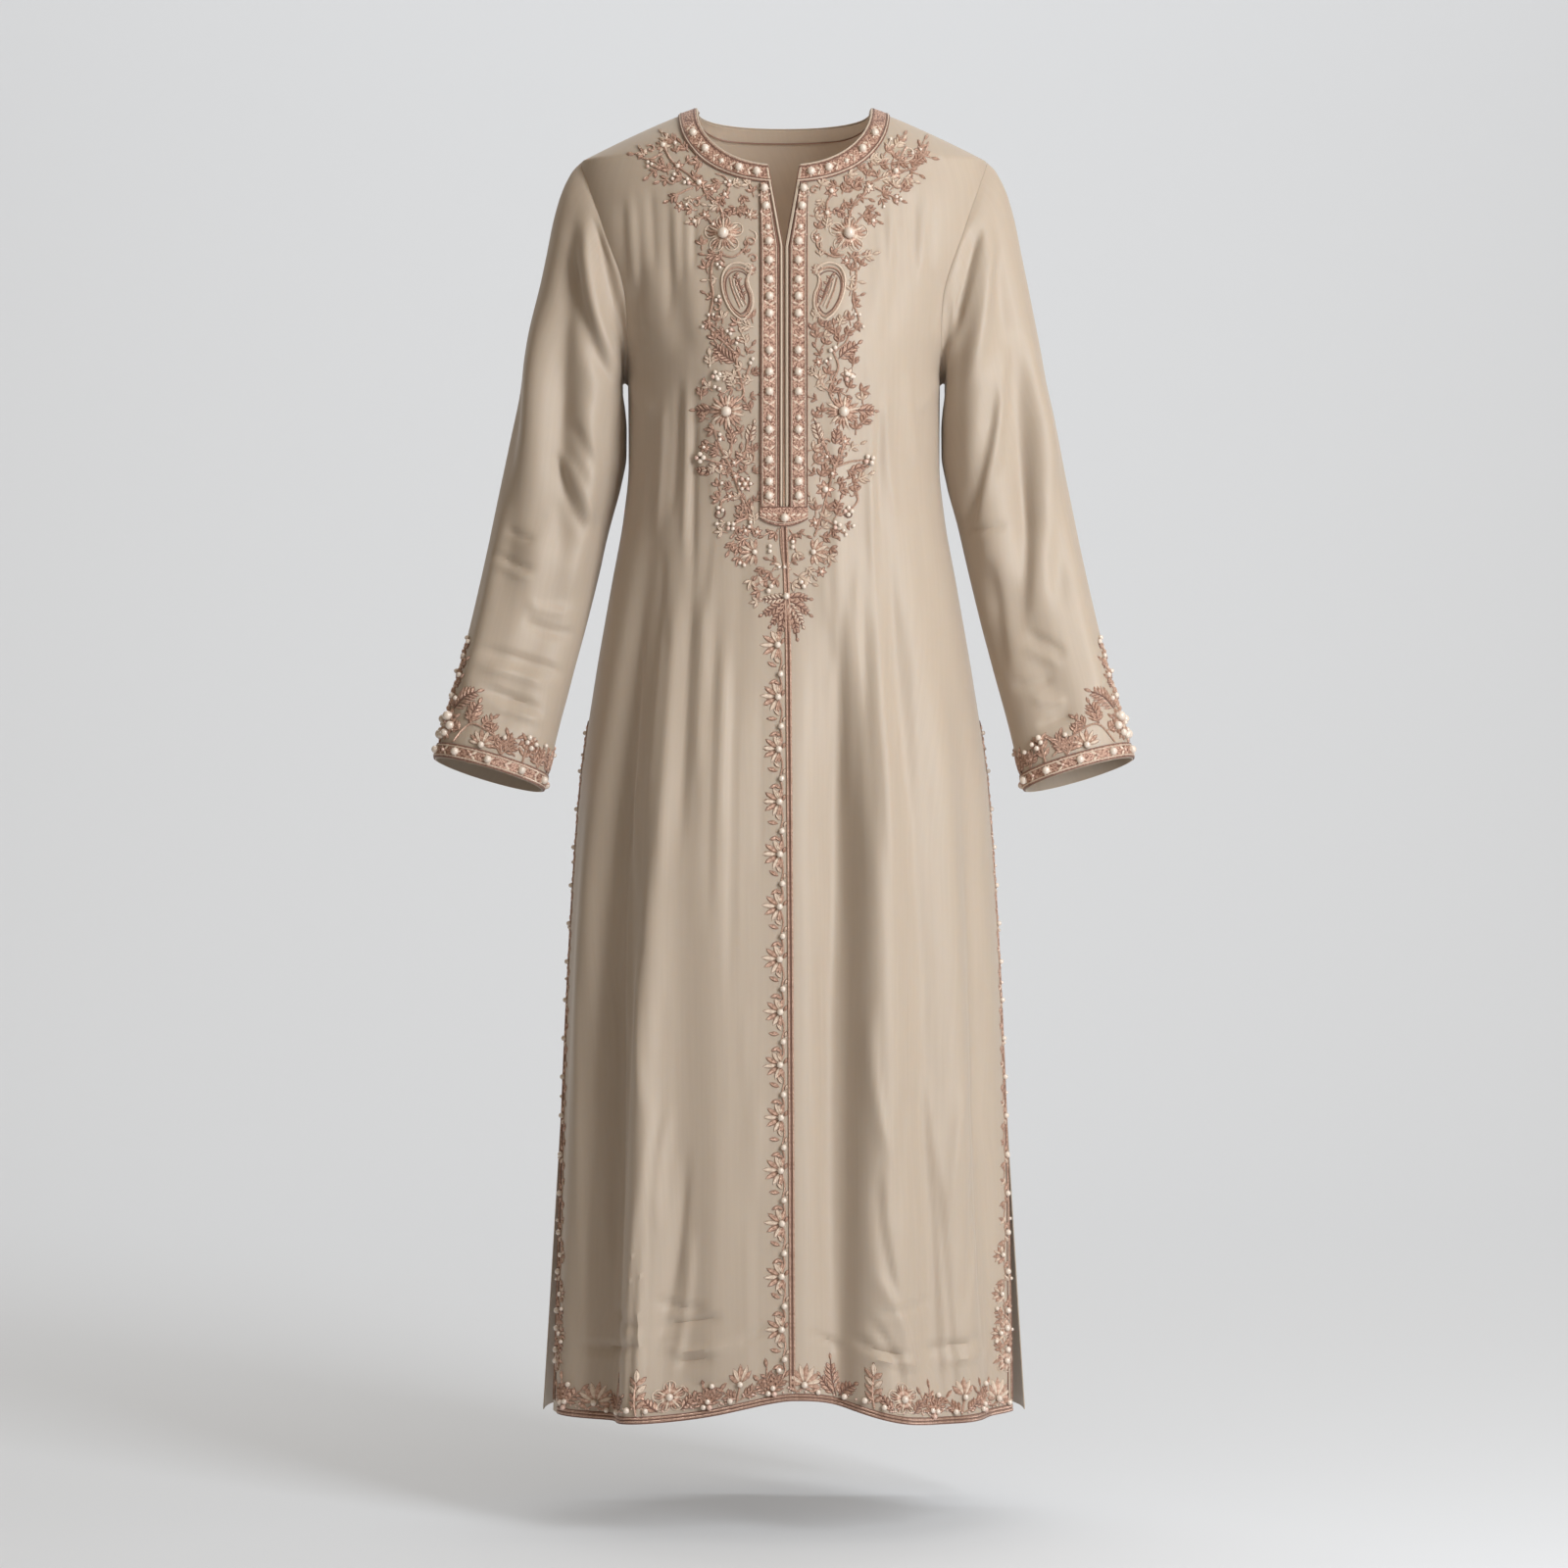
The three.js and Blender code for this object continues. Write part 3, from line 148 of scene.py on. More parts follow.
BODICE_CREASES = table(
    "x0 z0 x1 z1 bow wide high lean",
    # soft troughs under the shoulder embroidery
    (-152, -84, -147, -182, 1, 5.4, -1.2, 0.3), (-139, -78, -134, -206, -1, 5, -1.4, -0.3),
    (-125, -76, -121, -170, 1, 4.4, -1.2, 0.2), (-109, -76, -107, -224, 0, 4.2, -1.2, 0),
    (-95, -80, -94, -186, 1, 3.8, -1.2, 0), (-84, -90, -85, -170, 0, 3.6, -1.0, 0),
    (93, -92, 95, -176, -1, 3.8, -0.8, 0), (106, -82, 107, -190, 0, 4.4, -1.1, 0),
    (123, -80, 121, -178, -1, 4.6, -1.1, 0.2), (141, -88, 137, -186, 1, 5, -1.1, 0),
    # fine gathers beside the placket under the bust
    (-112, -268, -122, -420, -3, 5, 1.5, 0.2), (-98, -258, -106, -400, -3, 4, -1.5, 0),
    (-90, -250, -94, -440, -2, 4, 1.6, 0), (-82, -270, -84, -470, 1, 3.6, -1.7, 0.2),
    (96, -262, 104, -400, 4, 4.4, 1.4, 0), (88, -272, 92, -430, 2, 4, -1.4, 0),
    (116, -250, 128, -350, 4, 5, 1.3, 0.2), (80, -300, 84, -480, 1, 3.6, 1.3, 0),
    # lines that fall from the waist into the skirt
    (-84, -420, -92, -720, 1, 4.6, -1.9, 0.4), (-74, -440, -79, -660, 0, 4, 1.5, 0),
    (-64, -450, -69, -790, -1, 4.4, -1.5, 0.3), (-54, -490, -58, -700, 0, 4, 1.2, 0),
    (-44, -510, -49, -860, 1, 3.8, -1.1, 0), (-98, -440, -109, -760, 2, 5, 1.4, 0),
    (-112, -420, -129, -680, 2, 5, -1.5, 0.3), (-126, -430, -145, -780, 2, 5, 1.2, 0),
    (72, -420, 79, -730, 0, 5, -2.0, -0.4), (60, -450, 64, -680, 1, 4.2, 1.5, 0),
    (52, -470, 57, -810, 0, 4, -1.4, 0.2), (42, -490, 44, -880, 0, 3.6, 1.0, 0),
    (86, -430, 97, -790, 2, 5, 1.5, 0), (100, -440, 113, -690, 2, 5, -1.2, 0),
    (116, -450, 131, -820, 2, 6, 1.2, 0), (-20, -530, -22, -740, 0, 3.2, -0.9, 0),
    (26, -520, 28, -770, 0, 3.2, -0.9, 0),
    # pulls toward the armholes
    (-140, -160, -128, -236, 5, 6, -1.6, 0.2), (142, -150, 132, -230, -5, 6, -1.3, 0.2),
    (-146, -250, -118, -300, 4, 6, 1.4, 0), (146, -252, 120, -296, -4, 6, 1.2, 0))
SLEEVE_CREASES = table(
    "side x0 z0 x1 z1 bow wide high lean",
    # wearer's right sleeve: long folds that fan out from the armhole
    (-1, -206, -128, -163, -272, 3, 8, -4.6, 0.3), (-1, -187, -104, -152, -268, 8, 8, 4.6, 0.2),
    (-1, -176, -94, -146, -232, 4, 7, -3.8, 0.2), (-1, -236, -150, -238, -500, -8, 15, 4.2, 0),
    (-1, -250, -240, -268, -480, -3, 10, -3.0, 0), (-1, -207, -230, -206, -460, 0, 13, -4.0, 0),
    (-1, -190, -270, -184, -400, -3, 9, 2.6, 0.2),
    # slanting creases at the elbow
    (-1, -220, -322, -187, -412, -2, 4.5, -3.2, 0.4), (-1, -208, -326, -180, -404, -2, 5, 2.4, 0.2),
    (-1, -200, -296, -176, -352, 0, 5, -2.2, 0.2), (-1, -276, -420, -230, -441, 2, 3.4, -1.7, 0.2),
    (-1, -264, -397, -230, -412, 2, 3.2, -1.5, 0.2), (-1, -270, -432, -232, -450, 2, 3.4, 1.4, 0),
    # wrinkles across the sleeve over the cuff
    (-1, -292, -514, -200, -540, -5, 5.2, -3.2, 0.3), (-1, -290, -531, -216, -550, -4, 4.6, 2.6, 0.2),
    (-1, -288, -549, -222, -573, -3, 4.8, -3.2, 0.3), (-1, -280, -566, -220, -584, -2, 4.2, 2.0, 0.2),
    (-1, -246, -484, -192, -500, 3, 5.5, -2.6, 0.3), (-1, -244, -470, -196, -480, 2, 5, 1.8, 0),
    # wearer's left sleeve
    (1, 186, -108, 155, -228, 0, 7, -4.8, 0.3), (1, 201, -108, 175, -276, 0, 8, 3.8, 0.2),
    (1, 199, -256, 169, -420, -4, 6.5, -4.0, 0.3), (1, 209, -200, 187, -378, -5, 8, 3.8, 0.2),
    (1, 219, -192, 220, -506, -9, 8.5, -4.8, 0.3), (1, 239, -246, 241, -486, -6, 12, 3.4, 0),
    (1, 253, -326, 259, -486, 0, 9, -2.0, 0), (1, 195, -418, 207, -546, 3, 8, -3.0, 0.2),
    (1, 172, -399, 214, -396, 2, 3.4, -1.8, 0.2), (1, 222, -498, 266, -520, -3, 4.4, -1.9, 0.3),
    (1, 218, -513, 262, -532, -3, 4.2, 1.4, 0.2), (1, 210, -547, 254, -538, 3, 4.4, -1.9, 0.3),
    (1, 228, -561, 266, -560, 2, 4, 1.8, 0), (1, 234, -586, 270, -574, 0, 4.2, -2.2, 0.2))
CREASE_FADE = 0.28
FOLD_DEPTH = 1.4  # all folds, and the body's creases, are this much deeper than written above
SLEEVE_CREASE_DEPTH = 1.5
CENTRE_FLAT = {"half_width": 8, "fade": 22}  # no crease crosses the band down the centre seam
# The back's creases are the front's, turned about, spread and moved; the bodice's are shallower.
BACK_BODICE = {"spread": 1.04, "aside": 6, "down": 12, "depth": 0.8}
BACK_SKIRT = {"spread": 0.96, "aside": -5, "down": 8, "depth": 1.0}

# ------------------------------------------------------------------ grid sizes
ROWS_BELOW = 215  # hem to underarm
ROWS_ABOVE = 60  # underarm to shoulder; a sleeve has twice as many sides
NECK_COLUMNS = 46
FRONT_COLUMNS = 84
BACK_COLUMNS = 108
SLEEVE_RINGS = 190
RING_CROWDING = 0.8  # below 1, the rings lie closer towards the cuff
SIDE_NAME = {-1: "right", 1: "left"}  # of the wearer


# ------------------------------------------------------------------ small helpers
def smooth(t):
    t = np.clip(t, 0, 1)
    return t * t * (3 - 2 * t)


def lerp(a, b, t):
    return a + (b - a) * t


def crowded(t):
    return np.sin(t * np.pi / 2)


def unit(v):
    return v / np.maximum(np.linalg.norm(v, axis=-1, keepdims=True), 1e-9)


def same_shape(*values):
    """The values as float arrays of one shape."""
    return np.broadcast_arrays(*(np.asarray(v, float) for v in values))


def line_of(x, z):
    """Points of a line from its x and z, either of which may be one number."""
    return np.stack(same_shape(x, z), -1)


def run_length(line):
    """The distance along a line at each of its points."""
    steps = np.linalg.norm(np.diff(line, axis=0), axis=-1)
    return np.concatenate([[0], np.cumsum(steps)])


def track(rows, key, column):
    """A table's column as a smooth function of its key, with no overshoot."""
    ordered = sorted(rows, key=lambda r: r[key])
    k = np.array([r[key] for r in ordered], float)
    v = np.array([r[column] for r in ordered], float)
    slope = np.diff(v) / np.diff(k)
    a, b = slope[:-1], slope[1:]
    rising = a * b > 0
    inner = np.where(rising, 2 * a * b / np.where(rising, a + b, 1), 0)
    tangent = np.concatenate([slope[:1], inner, slope[-1:]])

    def at(place):
        place = np.clip(np.asarray(place, float), k[0], k[-1])
        i = np.clip(np.searchsorted(k, place, side="right") - 1, 0, len(k) - 2)
        h = k[i + 1] - k[i]
        t = (place - k[i]) / h
        t2, t3 = t * t, t ** 3
        return ((2 * t3 - 3 * t2 + 1) * v[i] + (t3 - 2 * t2 + t) * h * tangent[i]
                + (3 * t2 - 2 * t3) * v[i + 1] + (t3 - t2) * h * tangent[i + 1])
    return at


side_width = track(BODY_WIDTH, "z", "x")
front_depth = track(FRONT_PROFILE, "z", "y")
back_depth = track(BACK_PROFILE, "z", "y")
front_edge = track(FRONT_EDGE, "z", "deg")
seam_x = track(SEAM_SHIFT, "z", "x")
armhole = {part: track(ARMHOLE, "z", part) for part in ("front", "back")}


# ------------------------------------------------------------------ the body's surface
def shoulder_z(x):
    past = np.maximum(0, (x - NECK["half_width"]) / (SHOULDER["x"] - NECK["half_width"]))
    return SHOULDER["z"] * past ** SHOULDER["curve"]


def half_width(z):
    z = np.asarray(z, float)
    over = np.maximum(0, z / SHOULDER["z"]) ** (1 / SHOULDER["curve"])
    top = NECK["half_width"] + (SHOULDER["x"] - NECK["half_width"]) * over
    return np.where(z > SHOULDER["z"], top, side_width(z))


def angle_of(x, z):
    share = np.clip((np.abs(x) / half_width(z)) ** (ROUNDNESS / 2), 0, 1)
    return np.degrees(np.arcsin(share)) * np.sign(x)


def x_at(deg, z):
    return half_width(z) * np.sign(deg) * np.abs(np.sin(np.radians(deg))) ** (2 / ROUNDNESS)


def body_point(x, z, is_front):
    x, z = same_shape(x, z)
    inside = np.maximum(0, 1 - (np.abs(x) / half_width(z)) ** ROUNDNESS) ** (1 / ROUNDNESS)
    if is_front:
        across = (np.abs(x) - BUST["x"]) / BUST["wide"]
        up = (z - BUST["z"]) / BUST["tall"]
        bust = BUST["height"] * np.exp(-across ** 2 - up ** 2)
        y = -(front_depth(z) + bust) * inside - SEAM_GAP / 2
    else:
        y = back_depth(z) * inside + SEAM_GAP / 2
    return np.stack([x, y, z], -1)


def fold_height(folds, deg, z):
    height = np.zeros(np.shape(z))
    for f in folds:
        along = (f["top"] - z) / (f["top"] - f["foot"])
        away = (deg - lerp(f["top_deg"], f["foot_deg"], along)) / f["wide"]
        fade = smooth(along / 0.3) * smooth((1 - along) / 0.12)
        height = height + f["high"] * fade * np.exp(-away ** 2)
    return height


def crease_height(creases, x, z):
    """Creases drawn as bowed lines, each with one flank softer than the other."""
    x, z = same_shape(x, z)
    height = np.zeros(x.shape)
    for c in creases:
        dx, dz = c["x1"] - c["x0"], c["z1"] - c["z0"]
        length = math.hypot(dx, dz)
        along = ((x - c["x0"]) * dx + (z - c["z0"]) * dz) / length ** 2
        aside = ((x - c["x0"]) * dz - (z - c["z0"]) * dx) / length
        bow = c["bow"] * 4 * np.clip(along, 0, 1) * (1 - np.clip(along, 0, 1))
        away = aside - bow
        flank = c["wide"] * (1 + c["lean"] * np.tanh(away / c["wide"]))
        fade = smooth(along / CREASE_FADE) * smooth((1 - along) / CREASE_FADE)
        height = height + c["high"] * fade * np.exp(-(away / flank) ** 2)
    return height


def fine_creases(seed, count, x_range, z_range, high):
    """Many shallow upright creases of uneven length, width and depth."""
    rng = random.Random(seed)
    rows = []
    for _ in range(count):
        x, z = rng.uniform(*x_range), rng.uniform(*z_range)
        length = rng.uniform(90, 330)
        rows.append((x, z, x * (1 + length / 4200) + rng.uniform(-9, 9), z - length, rng.uniform(-5, 5),
                     rng.uniform(4.5, 10), rng.choice((-1, 1)) * rng.uniform(0.35, 1) * high,
                     rng.uniform(-0.5, 0.5)))
    return table("x0 z0 x1 z1 bow wide high lean", *rows)


FINE_CREASES = (fine_creases(3, 46, (-205, 205), (-420, -1130), 0.8)
                + fine_creases(4, 26, (-125, 125), (-230, -430), 1.1))


def seam_fades(deg, x, z):
    """Shares that fall to 0 at the side seams and at the shoulder."""
    near_side = smooth((90 - np.abs(deg)) / FOLD_FADE["deg"])
    near_top = smooth((shoulder_z(np.abs(x)) - z) / FOLD_FADE["mm"])
    return near_side, near_top


def front_height(x, z):
    """Folds and creases of the front, flat beside the centre seam's band."""
    deg = angle_of(x, z)
    near_side, near_top = seam_fades(deg, x, z)
    off_centre = np.abs(x - seam_x(z))
    near_band = smooth((off_centre - CENTRE_FLAT["half_width"]) / CENTRE_FLAT["fade"])
    creases = crease_height(BODICE_CREASES + SKIRT_CREASES + FINE_CREASES, x, z)
    return FOLD_DEPTH * (fold_height(FRONT_FOLDS, deg, z) + creases * near_band) * near_side * near_top


def turned_creases(creases, move, x, z):
    return crease_height(creases, move["aside"] - x * move["spread"], z + move["down"]) * move["depth"]


def back_height(x, z):
    """The back hangs in folds of its own; its creases are the front's, turned about."""
    deg = angle_of(x, z)
    near_side, near_top = seam_fades(deg, x, z)
    creases = (turned_creases(BODICE_CREASES, BACK_BODICE, x, z)
               + turned_creases(SKIRT_CREASES + FINE_CREASES, BACK_SKIRT, x, z))
    return FOLD_DEPTH * (fold_height(BACK_FOLDS, deg, z) + creases) * near_side * near_top


# ------------------------------------------------------------------ panel outlines
def arm_z(i):
    return lerp(UNDERARM_Z, SHOULDER["z"], crowded(i / ROWS_ABOVE))


def neckline(angle, b):
    """The front neckline, b inside the cloth from its edge."""
    x = NECK["half_width"] + b
    z = shoulder_z(x)
    power = 2 / NECK["roundness"]
    return np.stack([
        x * np.abs(np.sin(angle)) ** power,
        z - (NECK["front_drop"] + b + z) * np.abs(np.cos(angle)) ** power], -1)


def neck_angle(x, b):
    return np.arcsin((x / (NECK["half_width"] + b)) ** (NECK["roundness"] / 2))


def slit_x(z):
    share = (z - NECK_SLIT["bottom_z"]) / (-NECK["front_drop"] - NECK_SLIT["bottom_z"])
    return NECK_SLIT["half_gap"] * np.clip(share, 0, 1)


def inner_edge(z, side):
    return side * (slit_x(z) + SEAM_GAP / 2) + seam_x(z)


def hem_z(deg):
    x = x_at(deg, HEM["front"])
    aside = x - seam_x(HEM["front"])
    right = (np.abs(aside) / HEM["right_width"]) ** HEM["right_power"]
    left = (np.abs(aside) / HEM["left_width"]) ** HEM["left_power"]
    middle = np.exp(-np.where(aside < 0, right, left))
    return HEM["front"] + HEM["centre_rise"] * middle + HEM["side_rise"] * (np.abs(deg) / 70) ** 4


def coons(s, t, bottom, top, left, right):
    """Coons patch between two curves and two side points."""
    s = s[:, None]
    corner = ((1 - s) * (1 - t) * bottom[0] + s * (1 - t) * bottom[-1]
              + (1 - s) * t * top[0] + s * t * top[-1])
    return (1 - t) * bottom + t * top + (1 - s) * left + s * right - corner


def front_grid(side):
    """(x, z) of one front's grid: rows from the hem up, columns from the centre out."""
    s = np.linspace(0, 1, FRONT_COLUMNS + 1)
    rows = []
    for i in range(ROWS_BELOW):
        up = i / ROWS_BELOW
        z_edge = lerp(HEM["front"], UNDERARM_Z, up)
        edge = side * (float(front_edge(z_edge)) if z_edge < SIDE_SLIT_TOP else 90)
        deg = lerp(float(angle_of(inner_edge(z_edge, side), z_edge)), edge, s)
        z = lerp(hem_z(deg), UNDERARM_Z, up)
        x = x_at(deg, z)
        x[0] = inner_edge(z[0], side)
        rows.append(np.stack([x, z], -1))
    share = NECK_COLUMNS / FRONT_COLUMNS
    start = float(neck_angle(NECK_SLIT["half_gap"] + SEAM_GAP / 2, 0))
    neck = neckline(lerp(start, math.pi / 2, crowded(np.clip(s / share, 0, 1))), 0)
    over = lerp(NECK["half_width"], SHOULDER["x"], np.clip((s - share) / (1 - share), 0, 1))
    shoulder = np.stack([over, shoulder_z(over)], -1)
    top = np.where((s <= share)[:, None], neck, shoulder)
    first = float(angle_of(SEAM_GAP / 2, UNDERARM_Z))
    under = np.full(len(s), float(UNDERARM_Z))
    bottom = np.stack([x_at(lerp(first, 90, s), under), under], -1)
    for i in range(ROWS_ABOVE + 1):
        z_arm = arm_z(i)
        t = (z_arm - UNDERARM_Z) / (SHOULDER["z"] - UNDERARM_Z)
        z_in = lerp(UNDERARM_Z, top[0, 1], t)
        left = np.array([inner_edge(z_in, 1), z_in])
        right = np.array([float(armhole["front"](z_arm)), z_arm])
        at = coons(s, t, bottom, top, left, right)
        rows.append(np.stack([side * at[:, 0], at[:, 1]], -1))
    return np.array(rows)


def back_grid():
    """(x, z) of the back's grid: columns from the wearer's right to the left."""
    s = np.linspace(0, 1, BACK_COLUMNS + 1)
    rows = []
    for i in range(ROWS_BELOW):
        z = np.full(len(s), lerp(HEM["back"], UNDERARM_Z, i / ROWS_BELOW))
        rows.append(np.stack([x_at(lerp(-90, 90, s), z), z], -1))
    half = np.linspace(0, 1, BACK_COLUMNS // 2 + 1)
    angle = crowded(np.clip(half / 0.5, 0, 1)) * np.pi / 2
    power = 2 / NECK["roundness"]
    neck = np.stack([NECK["half_width"] * np.sin(angle) ** power,
                     -NECK["back_drop"] * np.maximum(0, np.cos(angle)) ** power], -1)
    over = lerp(NECK["half_width"], SHOULDER["x"], np.clip((half - 0.5) / 0.5, 0, 1))
    top = np.where((half <= 0.5)[:, None], neck, np.stack([over, shoulder_z(over)], -1))
    under = np.full(len(half), float(UNDERARM_Z))
    bottom = np.stack([x_at(90 * half, under), under], -1)
    for i in range(ROWS_ABOVE + 1):
        z_arm = arm_z(i)
        t = (z_arm - UNDERARM_Z) / (SHOULDER["z"] - UNDERARM_Z)
        left = np.array([0, lerp(UNDERARM_Z, -NECK["back_drop"], t)])
        right = np.array([float(armhole["back"](z_arm)), z_arm])
        at = coons(half, t, bottom, top, left, right)
        mirrored = at[:0:-1] * np.array([-1, 1])
        rows.append(np.concatenate([mirrored, at]))
    return np.array(rows)


# ------------------------------------------------------------------ normals and closed shells
def grid_normals(grid, away, closed=False):
    up = np.empty_like(grid)
    up[1:-1] = grid[2:] - grid[:-2]
    up[0], up[-1] = grid[1] - grid[0], grid[-1] - grid[-2]
    across = np.empty_like(grid)
    if closed:
        across = np.roll(grid, -1, axis=1) - np.roll(grid, 1, axis=1)
    else:
        across[:, 1:-1] = grid[:, 2:] - grid[:, :-2]
        across[:, 0], across[:, -1] = grid[:, 1] - grid[:, 0], grid[:, -1] - grid[:, -2]
    n = unit(np.cross(up, across))
    flip = np.sum(n * away, -1, keepdims=True) < 0
    return np.where(flip, -n, n)


def flat(normals, axis):
    normals = normals.copy()
    normals[..., axis] = 0
    return unit(normals)


def grid_cells(rows, cols, closed):
    """The four corners of each cell of a grid; closed joins the last column to the first."""
    i, j = np.meshgrid(np.arange(rows - 1), np.arange(cols if closed else cols - 1), indexing="ij")
    i, j = i.ravel(), j.ravel()
    k = (j + 1) % cols
    return i * cols + j, i * cols + k, (i + 1) * cols + k, (i + 1) * cols + j


def shell(outer, inner, closed=False):
    """Vertices, quads and a UV in metres along the cloth, of a closed wall between two grids."""
    rows, cols = outer.shape[:2]
    count = rows * cols
    points = np.concatenate([outer.reshape(-1, 3), inner.reshape(-1, 3)])
    a, b, c, d = grid_cells(rows, cols, closed)
    quads = [np.stack([a, b, c, d], -1), np.stack([a, d, c, b], -1) + count]
    j = np.arange(cols if closed else cols - 1)
    k = (j + 1) % cols
    top = (rows - 1) * cols
    quads.append(np.stack([k, j, j + count, k + count], -1))
    quads.append(np.stack([top + j, top + k, top + k + count, top + j + count], -1))
    if not closed:
        i = np.arange(rows - 1) * cols
        end = i + cols - 1
        quads.append(np.stack([i, i + cols, i + cols + count, i + count], -1))
        quads.append(np.stack([end + cols, end, end + count, end + cols + count], -1))
    quads = np.concatenate(quads)
    tri = points[quads[:, :3]]
    volume = np.einsum("ij,ij->i", tri[:, 0], np.cross(tri[:, 1], tri[:, 2])).sum()
    if volume < 0:
        quads = quads[:, ::-1]
    steps_u = np.linalg.norm(np.diff(outer, axis=1), axis=-1)
    steps_v = np.linalg.norm(np.diff(outer, axis=0), axis=-1)
    u = np.concatenate([np.zeros((rows, 1)), np.cumsum(steps_u, 1)], 1)
    v = np.concatenate([np.zeros((1, cols)), np.cumsum(steps_v, 0)], 0)
    uv = np.stack([u, v], -1).reshape(-1, 2) * MM
    return points, quads, np.concatenate([uv, uv])


def mesh_object(name, points, faces, uv, material, sharp=50):
    """A smooth-shaded object from points in millimetres and faces of equal numbers of sides."""
    mesh = bpy.data.meshes.new(name)
    mesh.vertices.add(len(points))
    mesh.vertices.foreach_set("co", (np.asarray(points) * MM).astype(np.float32).ravel())
    count, sides = faces.shape
    loops = faces.ravel()
    mesh.loops.add(len(loops))
    mesh.loops.foreach_set("vertex_index", loops.astype(np.int32))
    mesh.polygons.add(count)
    mesh.polygons.foreach_set("loop_start", np.arange(count, dtype=np.int32) * sides)
    mesh.polygons.foreach_set("loop_total", np.full(count, sides, np.int32))
    mesh.update(calc_edges=True)
    if uv is not None:
        layer = mesh.uv_layers.new(name="uv")
        layer.data.foreach_set("uv", np.asarray(uv)[loops].astype(np.float32).ravel())
    mesh.validate()
    mesh.shade_smooth()
    mesh.set_sharp_from_angle(angle=math.radians(sharp))
    mesh.materials.append(material)
    obj = bpy.data.objects.new(name, mesh)
    bpy.context.scene.collection.objects.link(obj)
    return obj


# ------------------------------------------------------------------ panels
def body_panel(places, is_front):
    """The panel's outer points and normals; away is a rough direction out of the body."""
    base = body_point(places[..., 0], places[..., 1], is_front)
    away = np.stack([base[..., 0] * 0.4, np.full(base.shape[:2], -60.0 if is_front else 60.0),
                     np.maximum(0, base[..., 2] + 60)], -1)
    height = (front_height if is_front else back_height)(base[..., 0], base[..., 2])
    outer = base + grid_normals(base, away) * height[..., None]
    normals = grid_normals(outer, away)
    joins = np.zeros(len(base), bool)
    joins[:ROWS_BELOW + 1] = base[:ROWS_BELOW + 1, -1, 2] >= SIDE_SLIT_TOP
    normals[joins, -1] = flat(normals[joins, -1], 1)
    if not is_front:
        normals[joins, 0] = flat(normals[joins, 0], 1)
    on_shoulder = np.abs(base[-1, :, 0]) >= NECK["half_width"] - 1
    normals[-1, on_shoulder] = flat(normals[-1, on_shoulder], 1)
    if is_front:
        normals[:, 0] = flat(normals[:, 0], 0)
    return {"outer": outer, "normals": normals, "closed": False}


FRONT = {side: body_panel(front_grid(side), True) for side in SIDE_NAME}
BACK = body_panel(back_grid(), False)
sleeve_at = {
    column: track([{**row, "k": k} for k, row in enumerate(SLEEVE)], "k", column)
    for column in SLEEVE[0]}


def armhole_loop(side):
    """Points, edge directions and inner neighbours: down the front, then up the back."""
    front, back = FRONT[side], BACK
    at, beside = (-1, -2) if side > 0 else (0, 1)
    down = slice(ROWS_BELOW + ROWS_ABOVE, ROWS_BELOW, -1)
    up = slice(ROWS_BELOW, ROWS_BELOW + ROWS_ABOVE)
    points = np.concatenate([front["outer"][down, -1], back["outer"][up, at]])
    normals = np.concatenate([front["normals"][down, -1], back["normals"][up, at]])
    inner = np.concatenate([front["outer"][down, -2], back["outer"][up, beside]])
    inner[ROWS_ABOVE] = back["outer"][ROWS_BELOW - 1, at]
    return points, normals, inner


def sleeve_ellipse(side, k, angle):
    """Points of the sleeve's section at ring k, angle from its outer line towards the front."""
    cos, sin = np.cos(angle), np.sin(angle)
    depth = (sleeve_at["front"](k) + sleeve_at["back"](k)) / 2
    middle = (sleeve_at["back"](k) - sleeve_at["front"](k)) / 2
    x = side * lerp(sleeve_at["ix"](k), sleeve_at["ox"](k), (1 + cos) / 2)
    z = lerp(sleeve_at["iz"](k), sleeve_at["oz"](k), (1 + cos) / 2) + sleeve_at["rise"](k) * sin
    return np.stack(np.broadcast_arrays(x, middle - depth * sin, z), -1)


def sleeve_height(side, points, turned, angle, s, centre_z):
    """Long folds, then creases on the front, and the other sleeve's creases turned to the back."""
    folds = fold_height(SLEEVE_FOLDS, np.degrees(angle), centre_z)
    x, z = points[..., 0], points[..., 2]
    here = [c for c in SLEEVE_CREASES if c["side"] == side]
    there = [c for c in SLEEVE_CREASES if c["side"] != side]
    ahead = smooth((-turned[..., 1] + 0.15) / 0.5)
    behind = smooth((turned[..., 1] + 0.15) / 0.5)
    creases = crease_height(here, x, z) * ahead + crease_height(there, -x, z + 14) * behind
    creases = creases * smooth(s / 0.08) * smooth((1 - s) / 0.1)
    return folds * FOLD_DEPTH * smooth(s / FOLD_FADE["rings"]) + creases * SLEEVE_CREASE_DEPTH


